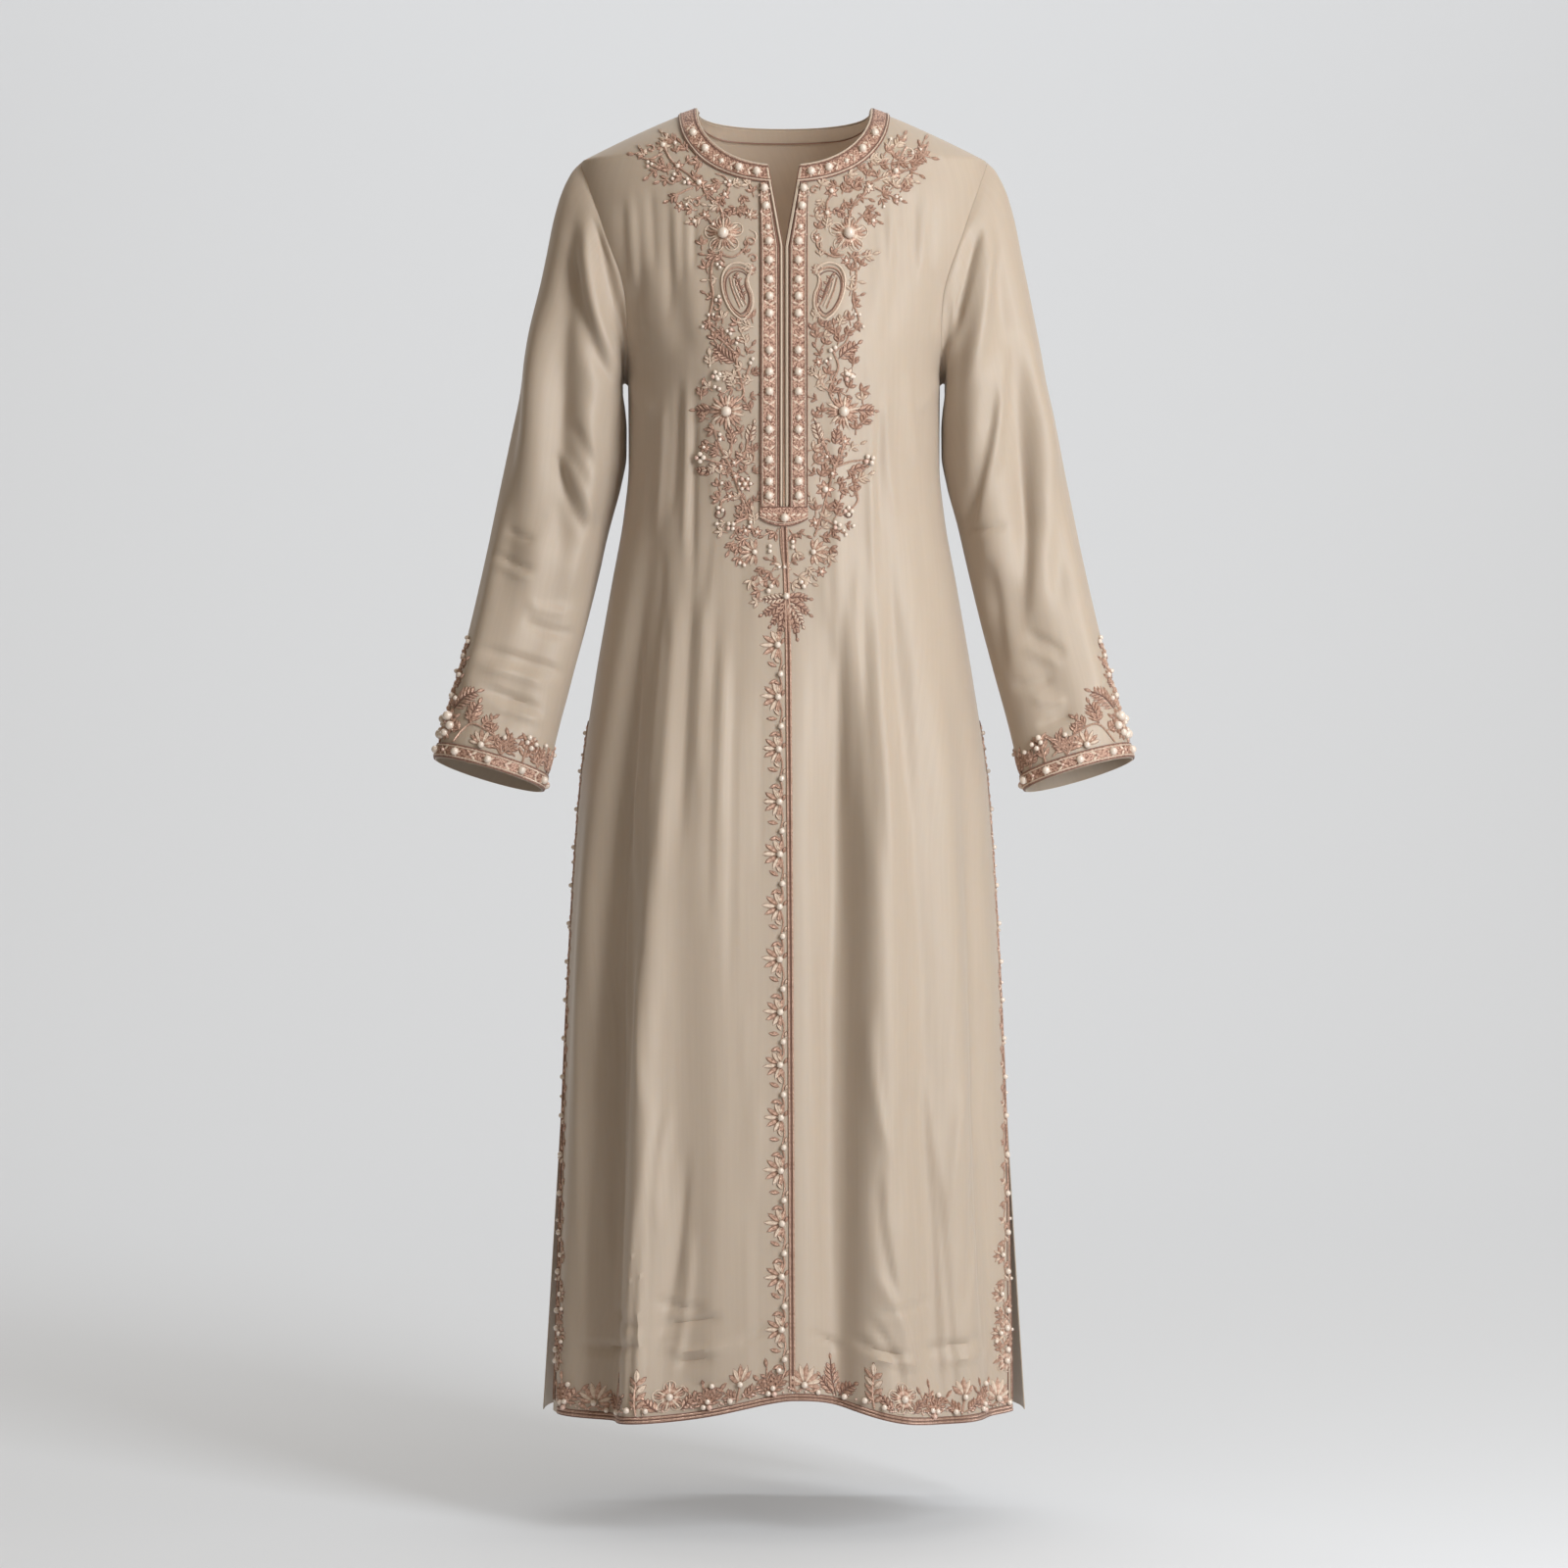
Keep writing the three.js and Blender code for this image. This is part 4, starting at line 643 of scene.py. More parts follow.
def sleeve_panel(side):
    """A sleeve whose first ring lies on the armhole, with the wall's mitre shared at that seam."""
    points, edge_normals, inner = armhole_loop(side)
    count = len(points)
    angle = np.broadcast_to(np.arange(count) / count * 2 * np.pi, (SLEEVE_RINGS + 1, count))
    s = np.broadcast_to(np.linspace(0, 1, SLEEVE_RINGS + 1)[:, None] ** RING_CROWDING, angle.shape)
    k = s * (len(SLEEVE) - 1)
    cap = (points - sleeve_ellipse(side, 0.0, angle[0]))[None]
    base = sleeve_ellipse(side, k, angle) + cap * sleeve_at["cap"](k)[..., None]
    away = base - base.mean(axis=1, keepdims=True)
    turned = grid_normals(base, away, True)
    centre_z = np.broadcast_to(base[..., 2].mean(axis=1, keepdims=True), angle.shape)
    outer = base + turned * sleeve_height(side, base, turned, angle, s, centre_z)[..., None]
    normals = grid_normals(outer, away, True)
    shared = unit(edge_normals + normals[0])
    along = np.roll(points, -1, 0) - np.roll(points, 1, 0)
    off = unit(np.cross(along, shared))
    off = np.where(np.sum(off * (points - inner), -1, keepdims=True) < 0, -off, off)
    normals[0] = shared
    outer[0] = points + off * SLEEVE_GAP
    return {"outer": outer, "normals": normals, "closed": True}


SLEEVES = {side: sleeve_panel(side) for side in SIDE_NAME}


def on_garment(obj, slot, *replaced):
    """obj rides on the garment and hides the nodes named, in whose place it stands; slot is not used."""
    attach(obj, "root")
    if replaced:
        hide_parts(*replaced)
    return obj


def cloth_piece(name, panel, replaced):
    inner = panel["outer"] - panel["normals"] * CLOTH
    piece = mesh_object(name, *shell(panel["outer"], inner, panel["closed"]), CREPE)
    return on_garment(piece, "crepe", replaced)


# ------------------------------------------------------------------ materials
def new_material(name):
    material = bpy.data.materials.new(name)
    material.use_nodes = True
    tree = material.node_tree
    return material, tree, tree.nodes["Principled BSDF"]


def set_sockets(made, **sockets):
    """Sets a node's own sockets; an underscore stands for a space in a socket's name."""
    for name, value in sockets.items():
        made.inputs[name.replace("_", " ")].default_value = value


def node(tree, kind, **sockets):
    made = tree.nodes.new(kind)
    set_sockets(made, **sockets)
    return made


def ramp(tree, source, stops):
    made = tree.nodes.new("ShaderNodeValToRGB")
    made.color_ramp.elements[0].position, made.color_ramp.elements[0].color = stops[0]
    made.color_ramp.elements[1].position, made.color_ramp.elements[1].color = stops[-1]
    for position, colour in stops[1:-1]:
        made.color_ramp.elements.new(position).color = colour
    tree.links.new(source, made.inputs["Fac"])
    return made.outputs["Color"]


def bump(tree, shader, sources):
    """A chain of bumps: (height output, strength, distance in metres)."""
    last = None
    for source, strength, distance in sources:
        made = node(tree, "ShaderNodeBump", Strength=strength, Distance=distance)
        tree.links.new(source, made.inputs["Height"])
        if last:
            tree.links.new(last, made.inputs["Normal"])
        last = made.outputs["Normal"]
    tree.links.new(last, shader.inputs["Normal"])


def scaled_uv(tree, across, along, turn=0.0):
    uv = tree.nodes.new("ShaderNodeUVMap")
    mapping = node(tree, "ShaderNodeMapping", Scale=(across, along, 1),
                   Rotation=(0, 0, math.radians(turn)))
    tree.links.new(uv.outputs["UV"], mapping.inputs["Vector"])
    return mapping.outputs["Vector"]


def noise(tree, vector, detail):
    made = node(tree, "ShaderNodeTexNoise", Scale=1.0, Detail=detail, Roughness=0.55)
    tree.links.new(vector, made.inputs["Vector"])
    return made.outputs["Fac"]


def wave(tree, vector, distortion=0.0):
    made = node(tree, "ShaderNodeTexWave", Scale=1.0, Distortion=distortion, Detail=1.0)
    made.bands_direction = "X"
    tree.links.new(vector, made.inputs["Vector"])
    return made.outputs["Fac"]


CREPE_LOW = (0.415, 0.335, 0.262, 1)
CREPE_HIGH = (0.436, 0.352, 0.275, 1)


def crepe_material():
    """Soft satin-backed crepe: a fine grain, faint lengthwise slubs, a low sheen."""
    material, tree, shader = new_material("crepe_satin")
    slub = noise(tree, scaled_uv(tree, 260, 9), 4.0)
    grain = noise(tree, scaled_uv(tree, 900, 700), 2.0)
    shade = ramp(tree, slub, [(0.30, CREPE_LOW), (0.72, CREPE_HIGH)])
    tree.links.new(shade, shader.inputs["Base Color"])
    set_sockets(shader, Roughness=0.56, Specular_IOR_Level=0.5)
    set_sockets(shader, Subsurface_Weight=0.3, Subsurface_Scale=0.0015)
    set_sockets(shader, Subsurface_Radius=(1.0, 0.62, 0.38))
    set_sockets(shader, Sheen_Weight=0.25, Sheen_Roughness=0.4, Sheen_Tint=(1.0, 0.95, 0.90, 1))
    bump(tree, shader, [(slub, 0.04, 0.0005), (grain, 0.16, 0.0003)])
    return material


CREPE = crepe_material()

# ------------------------------------------------------------------ the panels as cloth
for side, word in SIDE_NAME.items():
    cloth_piece(f"front_cloth_{word}", FRONT[side], f"front_{word}")
    cloth_piece(f"sleeve_cloth_{word}", SLEEVES[side], f"sleeve_{word}")
back_piece = cloth_piece("back_cloth", BACK, "back")


# ------------------------------------------------------------------ places on the cloth
def around(surface, deg, z, height):
    """Points raised off a surface given in degrees and z, with its normals."""
    step_deg, step_z = 0.4, 0.6
    here = surface(deg, z)
    across = surface(deg + step_deg, z) - surface(deg - step_deg, z)
    up = surface(deg, z + step_z) - surface(deg, z - step_z)
    normal = unit(np.cross(across, up))
    return here + normal * height[..., None], normal


def front_base(deg, z):
    deg = np.clip(deg, -90, 90)
    return body_point(x_at(deg, z), z, True)


def front_place(x, z, lift):
    """lift above the front, at the place seen at x and z from straight in front."""
    x, z, lift = same_shape(x, z, lift)
    return around(front_base, angle_of(x, z), z, front_height(x, z) + lift)


def deg_after(deg, z, distance, steps=8):
    """Degrees round the front at a distance along the section from deg."""
    for _ in range(steps):
        stride = np.linalg.norm(front_base(deg + 0.5, z) - front_base(deg - 0.5, z), axis=-1)
        deg = deg + distance / steps / np.maximum(stride, 0.4)
    return deg


def hem_place(s, up, lift):
    """s round the hem from the centre seam, up from the hem's edge."""
    s, up, lift = same_shape(s, up, lift)
    level = np.full(s.shape, HEM["front"] + 12.0)
    deg = deg_after(angle_of(seam_x(level), level), level, s, 24)
    z = hem_z(deg) + up
    return around(front_base, deg, z, front_height(x_at(deg, z), z) + lift)


def edge_place(side):
    def place(inward, z, lift):
        inward, z, lift = same_shape(inward, z, lift)
        deg = side * np.where(z < SIDE_SLIT_TOP, front_edge(z), 90)
        deg = deg_after(deg, z, -side * inward)
        return around(front_base, deg, z, front_height(x_at(deg, z), z) + lift)
    return place


CUFF = {"inset": 1.0, "width": 13, "pearls": 10, "girth": 298, "climb": 116}


def sleeve_place(side):
    """u round the sleeve from its outer line towards the front, v up from the cuff's edge."""
    last = len(SLEEVE) - 1
    rings = np.linspace(last, last - 5, 40)
    line = sleeve_ellipse(side, rings, np.zeros(40))
    far = run_length(line)

    def base(deg, ring):
        return sleeve_ellipse(side, ring, np.radians(deg))

    def place(u, v, lift):
        u, v, lift = same_shape(u, v, lift)
        ring = np.interp(v, far, rings)
        deg = (u / CUFF["girth"] * 360) % 360
        point = base(deg, ring)
        middle = (point + base(deg + 180, ring)) / 2
        _, normal = around(base, deg, ring, lift)
        inward = np.sum(normal * (point - middle), -1, keepdims=True) < 0
        normal = np.where(inward, -normal, normal)
        height = sleeve_height(side, point, normal, np.radians(deg), ring / last, middle[..., 2])
        return point + normal * (height + lift)[..., None], normal
    return place


# ------------------------------------------------------------------ stitches and beads
BAND_HEIGHT = 1.9  # of the couched ground of the neckband, the placket and the cuffs


class Work:
    """Stitches gathered as (across, up, height) points, then laid on the cloth in one go."""

    def __init__(self, place):
        self.place = place
        self.stitches = {}
        self.beads = {}

    def add(self, thread, points, faces, uv, sheet=False):
        """Keeps a stitch; a sheet of faces is turned so that it faces up."""
        if sheet:
            tri = points[faces]
            turned = np.cross(tri[:, 1] - tri[:, 0], tri[:, 2] - tri[:, 0])[:, 2].sum() < 0
            faces = faces[:, ::-1] if turned else faces
        store = self.stitches.setdefault(thread, {"points": [], "faces": [], "uv": [], "count": 0})
        store["points"].append(points)
        store["faces"].append(faces + store["count"])
        store["uv"].append(uv)
        store["count"] += len(points)

    def bead(self, x, z, radius, kind="pearl", sink=0.2):
        self.beads.setdefault(kind, []).append((x, z, radius, sink))


def grid_faces(rows, cols, closed=False):
    """Triangles of a grid of points; closed joins the columns."""
    a, b, c, d = grid_cells(rows, cols, closed)
    return np.concatenate([np.stack([a, b, c], -1), np.stack([a, c, d], -1)])


def curve(points, step=1.6):
    """A smooth line through a few points, resampled evenly."""
    p = np.array(points, float)
    if len(p) > 2:
        ends = np.vstack([2 * p[0] - p[1], p, 2 * p[-1] - p[-2]])
        t = np.linspace(0, 1, 12, endpoint=False)[:, None]
        parts = []
        for a, b, c, d in zip(ends, ends[1:], ends[2:], ends[3:]):
            parts.append(0.5 * (2 * b + (c - a) * t + (2 * a - 5 * b + 4 * c - d) * t ** 2
                                + (3 * b - a - 3 * c + d) * t ** 3))
        p = np.vstack(parts + [p[-1:]])
    far = run_length(p)
    count = max(2, int(round(far[-1] / step)) + 1)
    at = np.linspace(0, far[-1], count)
    return np.stack([np.interp(at, far, p[:, 0]), np.interp(at, far, p[:, 1])], -1)


def cord(work, thread, line, radius, sides=5, closed=False, height=None):
    """A round cord laid along a line, its middle at a height over the cloth."""
    line = np.asarray(line, float)
    if closed:
        ahead = np.roll(line, -1, 0) - np.roll(line, 1, 0)
    else:
        ahead = np.gradient(line, axis=0)
    aside = unit(np.stack([-ahead[:, 1], ahead[:, 0]], -1))
    turn = np.arange(sides) / sides * 2 * np.pi
    reach = np.full(len(line), float(radius))
    if not closed:
        reach[0] = reach[-1] = radius * 0.45
    across = line[:, None] + aside[:, None] * (np.cos(turn)[None, :, None] * reach[:, None, None])
    middle = radius * 0.6 if height is None else height
    rise = middle + np.sin(turn)[None] * reach[:, None]
    points = np.concatenate([across, rise[..., None]], -1).reshape(-1, 3)
    far = run_length(line)
    twist = far[:, None] + turn[None] * radius * 0.9
    uv = np.stack(np.broadcast_arrays(twist, turn[None] * radius), -1).reshape(-1, 2)
    faces = grid_faces(len(line), sides, closed=True)
    if closed:
        last = (len(line) - 1) * sides
        j = np.arange(sides)
        k = (j + 1) % sides
        faces = np.concatenate([faces, np.stack([last + j, last + k, k], -1),
                                np.stack([last + j, k, j], -1)])
    work.add(thread, points, faces, uv * MM)


def leaf(work, thread, x, z, angle, length, width, rise=2.3, blunt=1.0, groove=0.4, rows=6, cols=4):
    """A satin-stitched leaf or petal, from its stalk end, over a slightly larger dark sheet that is painted
    shade round its edge.
    """
    # The dark sheet under the leaf is painted shade: it stands for the shadow the raised stitches cast on
    # the cloth.
    back = ahead_of(x, z, angle, -0.6)
    blade(work, "dark", *back, angle, length + 1.4, width + 1.6, 0.6, blunt, 0, 4, 2)
    blade(work, thread, x, z, angle, length, width, rise, blunt, groove, rows, cols)


def leaf_pair(work, thread, x, z, angle, spread, length, width, **shape):
    for hand in (-1, 1):
        leaf(work, thread, x, z, angle + hand * spread, length, width, **shape)


def band_leaf(work, thread, x, z, angle, length, width, rise=0.9, rows=4):
    """A low leaf on a raised band, without an edging."""
    blade(work, thread, x, z, angle, length, width, rise, 1.0, 0.4, rows, 3, BAND_HEIGHT)


def blade(work, thread, x, z, angle, length, width, rise, blunt, groove, rows, cols, base=0.0):
    """A domed leaf whose stitches slant to its middle vein."""
    t = np.linspace(0.02, 0.98, rows + 1)[:, None]
    s = np.linspace(-1, 1, cols + 1)[None]
    half = width / 2 * np.sin(np.pi * t ** blunt) ** 0.8
    cos, sin = np.cos(math.radians(angle)), np.sin(math.radians(angle))
    along = t * length
    across = s * half
    px = x + along * cos - across * sin
    pz = z + along * sin + across * cos
    dome = np.sqrt(np.maximum(0, 1 - s ** 2)) * np.sin(np.pi * t) ** 0.5
    height = base + rise * dome * (1 - groove * np.exp(-(s / 0.3) ** 2)) - 0.12
    points = np.stack(np.broadcast_arrays(px, pz, height), -1).reshape(-1, 3)
    uv = np.stack(np.broadcast_arrays(along * 0.8 - np.abs(across) * 0.7, across), -1)
    work.add(thread, points, grid_faces(rows + 1, cols + 1), uv.reshape(-1, 2) * MM, sheet=True)


def ahead_of(x, z, angle, distance):
    return x + distance * math.cos(math.radians(angle)), z + distance * math.sin(math.radians(angle))


def stem(work, *points, radius=1.0):
    cord(work, "thread", curve(points), radius)


def trefoil(work, x, z, angle, size, thread):
    for turn, share in ((-50, 0.85), (0, 1.0), (50, 0.85)):
        leaf(work, thread, x, z, angle + turn, size * share, size * 0.34)


def sprig(work, x, z, angle, length, pairs, leaf_size, tip=None, sway=10, thread="thread"):
    """A stem with leaves in pairs and one, or a bead, at its tip."""
    middle = ahead_of(x, z, angle + sway, length * 0.5)
    end = ahead_of(x, z, angle, length)
    line = curve([(x, z), middle, end], 1.6)
    cord(work, thread, line, 0.8)
    for n in range(pairs):
        share = 0.3 + 0.6 * n / max(1, pairs)
        place = line[int(share * (len(line) - 1))]
        size = leaf_size * (1 - 0.2 * n / pairs)
        leaf_pair(work, thread, *place, angle, 48, size, size * 0.36)
    if tip:
        work.bead(*end, tip)
    else:
        leaf(work, thread, *end, angle, leaf_size, leaf_size * 0.36)


def feather(work, x, z, angle, length, width, thread="thread"):
    """A serrated leaf: many small satin blades along one vein."""
    line = curve([(x, z), ahead_of(x, z, angle + 5, length * 0.5), ahead_of(x, z, angle, length)], 2)
    cord(work, "dark", line, 0.7)
    blades = max(4, int(length / 4.0))
    for n in range(blades):
        share = 0.12 + 0.8 * n / blades
        place = line[int(share * (len(line) - 1))]
        size = width / 2 * (0.6 + 0.6 * math.sin(math.pi * min(1, share + 0.2)))
        leaf_pair(work, thread, *place, angle, 42, size * 1.3, 2.5, rise=2.0, rows=4, cols=3)
    end = ahead_of(x, z, angle, length - 1)
    leaf(work, thread, *end, angle, width * 0.42, 2.6, rows=4, cols=3)


def fan(work, x, z, angle, spread, count, length, pearl=None, width=0.3):
    """A half flower: petals that open out from one point."""
    for n in range(count):
        share = n / (count - 1) - 0.5
        size = length * (1 - 0.25 * abs(2 * share) ** 1.5)
        tone = "pale" if n % 2 else "thread"
        start = ahead_of(x, z, angle + spread * share, (pearl or 1) * 0.8)
        leaf(work, tone, *start, angle + spread * share, size, length * width, rise=1.9)
    if pearl:
        work.bead(x, z, pearl)


def cord_ring(work, x, z, reach, radius):
    """A ring of dark cord round a pearl."""
    ring = curve([ahead_of(x, z, angle, reach) for angle in range(0, 331, 30)], 1.5)
    cord(work, "dark", ring, radius, closed=True)


def daisy(work, x, z, reach, petals, pearl, seed):
    """A flower of thin petals of two tones round a pearl."""
    rng = random.Random(seed)
    for n in range(petals):
        angle = n / petals * 360 + rng.uniform(-5, 5)
        size = reach * rng.uniform(0.82, 1.05) - pearl * 0.7
        start = ahead_of(x, z, angle, pearl * 0.7)
        tone = "pale" if n % 4 == 1 else "thread"
        leaf(work, tone, *start, angle, size, reach * 0.19, rise=2.2, blunt=0.8, groove=0.1)
    cord_ring(work, x, z, pearl * 1.05, 0.6)
    work.bead(x, z, pearl)


ROSE_PETALS = 5


def rose(work, x, z, reach, turn, pearl, seed):
    """A large flower: broad scalloped petals of radial satin threads, edged with cord."""
    rng = random.Random(seed)
    width = 360 / ROSE_PETALS
    for n in range(ROSE_PETALS):
        middle = turn + n / ROSE_PETALS * 360
        for m in range(5):
            share = (m - 2) / 5
            tone = "pale" if (m + n) % 3 == 0 else "thread"
            size = reach * (1 - 0.35 * abs(2 * share) ** 2) * rng.uniform(0.95, 1.04) - pearl * 0.6
            angle = middle + share * width
            start = ahead_of(x, z, angle, pearl * 0.6)
            leaf(work, tone, *start, angle, size, reach * 0.19, rise=2.2, blunt=0.62, groove=0.1)
        edge = []
        for m in range(7):
            share = (m - 3) / 6
            scallop = 1.02 - 0.42 * abs(2 * share) ** 2.2
            edge.append(ahead_of(x, z, middle + share * width * 0.96, reach * scallop))
        cord(work, "pale", curve(edge, 1.8), 0.6)
    cord_ring(work, x, z, pearl * 1.02, 0.7)
    work.bead(x, z, pearl)


def star(work, x, z, bead, length):
    """Six plain leaves round a bead."""
    for n in range(6):
        leaf(work, "thread", x, z, n * 60 + 15, length, bead * 0.8)
    work.bead(x, z, bead)


def blossom(work, x, z, reach, petals, bead, turn, thread="thread"):
    """A small flower of short, low petals round a bead."""
    for n in range(petals):
        angle = turn + n / petals * 360
        leaf(work, thread, x, z, angle, reach, reach * 0.55, rise=0.9, blunt=0.7, rows=4, cols=3)
    work.bead(x, z, bead)


def cluster(work, x, z, count, bead, spread, turn=0):
    """Pearls with a rose bead among them, in a ring."""
    for n in range(count):
        place = ahead_of(x, z, turn + n / count * 360, spread if count > 1 else 0)
        work.bead(*place, bead, "rose" if n % 3 == 2 else "pearl")


def curl(work, x, z, reach, start, turns, hand, thread="thread", radius=0.95):
    """A cord wound inwards."""
    points = []
    for n in range(int(turns * 10) + 1):
        share = n / (turns * 10)
        points.append(ahead_of(x, z, start + hand * 360 * turns * share, reach * (1 - 0.86 * share)))
    cord(work, thread, curve(points, 1.4), radius)


# A paisley: a full drop whose head bends over to one side, as shares of its half-width and half-height.
DROP = [(-0.25, -1.0), (0.30, -0.74), (0.74, -0.32), (0.98, 0.18), (0.93, 0.60), (0.58, 0.90), (0.05, 1.0),
        (-0.48, 0.93), (-0.86, 0.72), (-0.66, 0.50), (-0.70, 0.22), (-0.93, -0.12), (-0.96, -0.50),
        (-0.70, -0.84)]
PAISLEY = {"half_width": 14.5, "half_height": 27, "leaves": 8}


def drop_outline(at, scale):
    """The drop scaled about its middle; at() puts shares of the drop's size on the cloth."""
    middle = (-0.02, -0.12)
    points = []
    for across, up in DROP + DROP[:3]:
        points.append(at(middle[0] + (across - middle[0]) * scale, middle[1] + (up - middle[1]) * scale))
    line = curve(points, 1.4)
    ends = np.linalg.norm(line - line[0], axis=-1)
    whole = np.argmin(np.where(np.arange(len(line)) < len(line) * 0.6, 99.0, ends))
    return line[:whole]


def paisley(work, x, z, side):
    """A drop with a bent head, three outlines, and a vine with leaves and small beads inside."""
    def at(across, up):
        return x + side * across * PAISLEY["half_width"], z + up * PAISLEY["half_height"]

    for scale, tone, radius in ((1.0, "pale", 1.15), (0.86, "thread", 1.0), (0.75, "dark", 0.55)):
        cord(work, tone, drop_outline(at, scale), radius, closed=True)
    curl(work, *at(-0.62, 0.80), 5.0, 120, 1.2, side, "pale", 0.9)
    fan(work, *at(-0.66, 0.74), 90 + side * 75, 120, 6, 7)
    for n, tone in enumerate(("thread", "pale", "thread")):
        shift = 0.26 - n * 0.20
        line = [at(shift + 0.24, 0.50 - n * 0.05), at(shift + 0.02, 0.02), at(shift - 0.44, n * 0.06 - 0.60)]
        cord(work, tone, curve(line, 1.2), 0.7)
    vein = curve([at(0.20, 0.62), at(-0.14, 0.22), at(-0.46, -0.30)], 1.2)
    cord(work, "dark", vein, 0.7)
    for n in range(PAISLEY["leaves"]):
        place = vein[int((n + 0.5) / PAISLEY["leaves"] * (len(vein) - 1))]
        hand = 1 if n % 2 else -1
        leaf(work, "thread", *place, 90 + hand * 58, 4.2, 1.9, rise=1.4, rows=4, cols=3)
        work.bead(place[0] - hand * 2.6, place[1] - 1.0, 0.9, "rose")


def ribbon(work, thread, inner, outer, height):
    """A raised flat band between two lines of as many points, with steep, rounded sides."""
    shares = np.array([0, 0.001, *np.linspace(0.04, 0.96, 6), 0.999, 1.0])
    heights = np.full(len(shares), float(height))
    heights[[0, -1]] = -0.3
    heights[[1, -2]] = height * 0.75
    inner, outer = np.asarray(inner, float), np.asarray(outer, float)
    flat_points = inner[:, None] * (1 - shares[None, :, None]) + outer[:, None] * shares[None, :, None]
    rise = np.broadcast_to(heights[None], flat_points.shape[:2])
    points = np.concatenate([flat_points, rise[..., None]], -1).reshape(-1, 3)
    far = run_length(inner)
    width = np.linalg.norm(outer - inner, axis=-1)
    uv = np.stack(np.broadcast_arrays(far[:, None], shares[None] * width[:, None]), -1).reshape(-1, 2)
    work.add(thread, points, grid_faces(len(inner), len(shares)), uv * MM, sheet=True)


COLLAR_PETALS = 8


def band_pearl(work, x, z, radius, turn=0):
    """A pearl on a band, in a collar of small petals."""
    for n in range(COLLAR_PETALS):
        angle = turn + n / COLLAR_PETALS * 360
        start = ahead_of(x, z, angle, radius * 0.55)
        band_leaf(work, "thread" if n % 2 else "pale", *start, angle, radius * 0.85, 2.2, 0.8, 3)
    work.bead(x, z, radius, sink=0.12)


# ------------------------------------------------------------------ beads as round meshes
def ball(subdivisions):
    made = bmesh.new()
    bmesh.ops.create_icosphere(made, subdivisions=subdivisions, radius=1)
    points = np.array([v.co for v in made.verts])
    faces = np.array([[v.index for v in f.verts] for f in made.faces])
    made.free()
    return points, faces


BALLS = {"fine": ball(3), "round": ball(2), "small": ball(1)}


def bead_kind(radius):
    """The finer ball for the larger bead."""
    return BALLS["fine" if radius > 3.6 else "round" if radius > 1.4 else "small"]


def bead_object(name, work, kind):
    """All beads of one kind as one object."""
    x, z, radius, sink = np.array(work.beads[kind], float).T
    centres, _ = work.place(x, z, radius * (1 - sink))
    points, faces, uvs, count = [], [], [], 0
    for centre, r in zip(centres, radius):
        shape, sides = bead_kind(r)
        points.append(centre + shape * r)
        faces.append(sides + count)
        uvs.append(shape[:, :2] * r * MM)
        count += len(shape)
    return mesh_object(f"{name}_{kind}_beads", np.concatenate(points), np.concatenate(faces),
                       np.concatenate(uvs), MATERIALS[kind], sharp=180)


def mirrors(work):
    """Whether the work's place turns across and up the other way round on the cloth."""
    x, z = next(iter(work.stitches.values()))["points"][0][0, :2]
    here, normal = work.place(x, z, 0.0)
    across, up = work.place(x + 0.5, z, 0.0)[0] - here, work.place(x, z + 0.5, 0.0)[0] - here
    return float(np.dot(np.cross(across, up), normal)) < 0


def lay(name, work):
    """One object for each thread and kind of bead, laid on the cloth."""
    turn = -1 if mirrors(work) else 1
    made = {}
    for thread, store in work.stitches.items():
        points, _ = work.place(*np.concatenate(store["points"]).T)
        faces = np.concatenate(store["faces"])[:, ::turn]
        made[thread] = mesh_object(f"{name}_{thread}", points, faces, np.concatenate(store["uv"]),
                                   MATERIALS[thread], sharp=60)
    for kind in work.beads:
        made[kind] = bead_object(name, work, kind)
    for kind, obj in made.items():
        on_garment(obj, SLOTS[kind])
    return made


# ------------------------------------------------------------------ thread and pearl
WAVE_PERIOD = math.pi / 10  # of Blender's wave texture at a scale of 1


def thread_material(name, low, high, rough, metal, pitch=0.6):
    """Silk and metal thread laid side by side; pitch is one thread's width in millimetres."""
    material, tree, shader = new_material(name)
    strand = wave(tree, scaled_uv(tree, WAVE_PERIOD / (pitch * MM), 1))
    patchy = noise(tree, scaled_uv(tree, 500, 500), 2.0)
    shade = ramp(tree, patchy, [(0.3, low), (0.7, high)])
    tree.links.new(shade, shader.inputs["Base Color"])
    set_sockets(shader, Roughness=rough, Metallic=metal, Sheen_Weight=0.15)
    bump(tree, shader, [(strand, 0.7, 0.0003), (patchy, 0.2, 0.0002)])
    return material


def ground_material():
    """Couched thread that covers a band closely in small loops."""
    material, tree, shader = new_material("couched_ground")
    loops = node(tree, "ShaderNodeTexVoronoi", Scale=1.0)
    tree.links.new(scaled_uv(tree, 620, 620), loops.inputs["Vector"])
    rows = wave(tree, scaled_uv(tree, 170, 170, 45), 2.0)
    shade = ramp(tree, loops.outputs["Distance"], [
        (0.05, (0.60, 0.390, 0.295, 1)), (0.45, (0.42, 0.245, 0.180, 1)), (0.8, (0.20, 0.100, 0.070, 1))])
    tree.links.new(shade, shader.inputs["Base Color"])
    set_sockets(shader, Roughness=0.45, Metallic=0.25)
    bump(tree, shader, [(loops.outputs["Distance"], 0.8, -0.0008), (rows, 0.4, 0.0004)])
    return material


def pearl_material(name, colour, rough=0.22):
    material, tree, shader = new_material(name)
    cloudy = noise(tree, scaled_uv(tree, 300, 300), 2.0)
    warm = tuple(c * 0.94 for c in colour[:3]) + (1,)
    tree.links.new(ramp(tree, cloudy, [(0.35, warm), (0.65, colour)]), shader.inputs["Base Color"])
    set_sockets(shader, Roughness=rough, Specular_IOR_Level=0.6, Sheen_Weight=0.1)
    set_sockets(shader, Coat_Weight=0.5, Coat_Roughness=0.12)
    return material


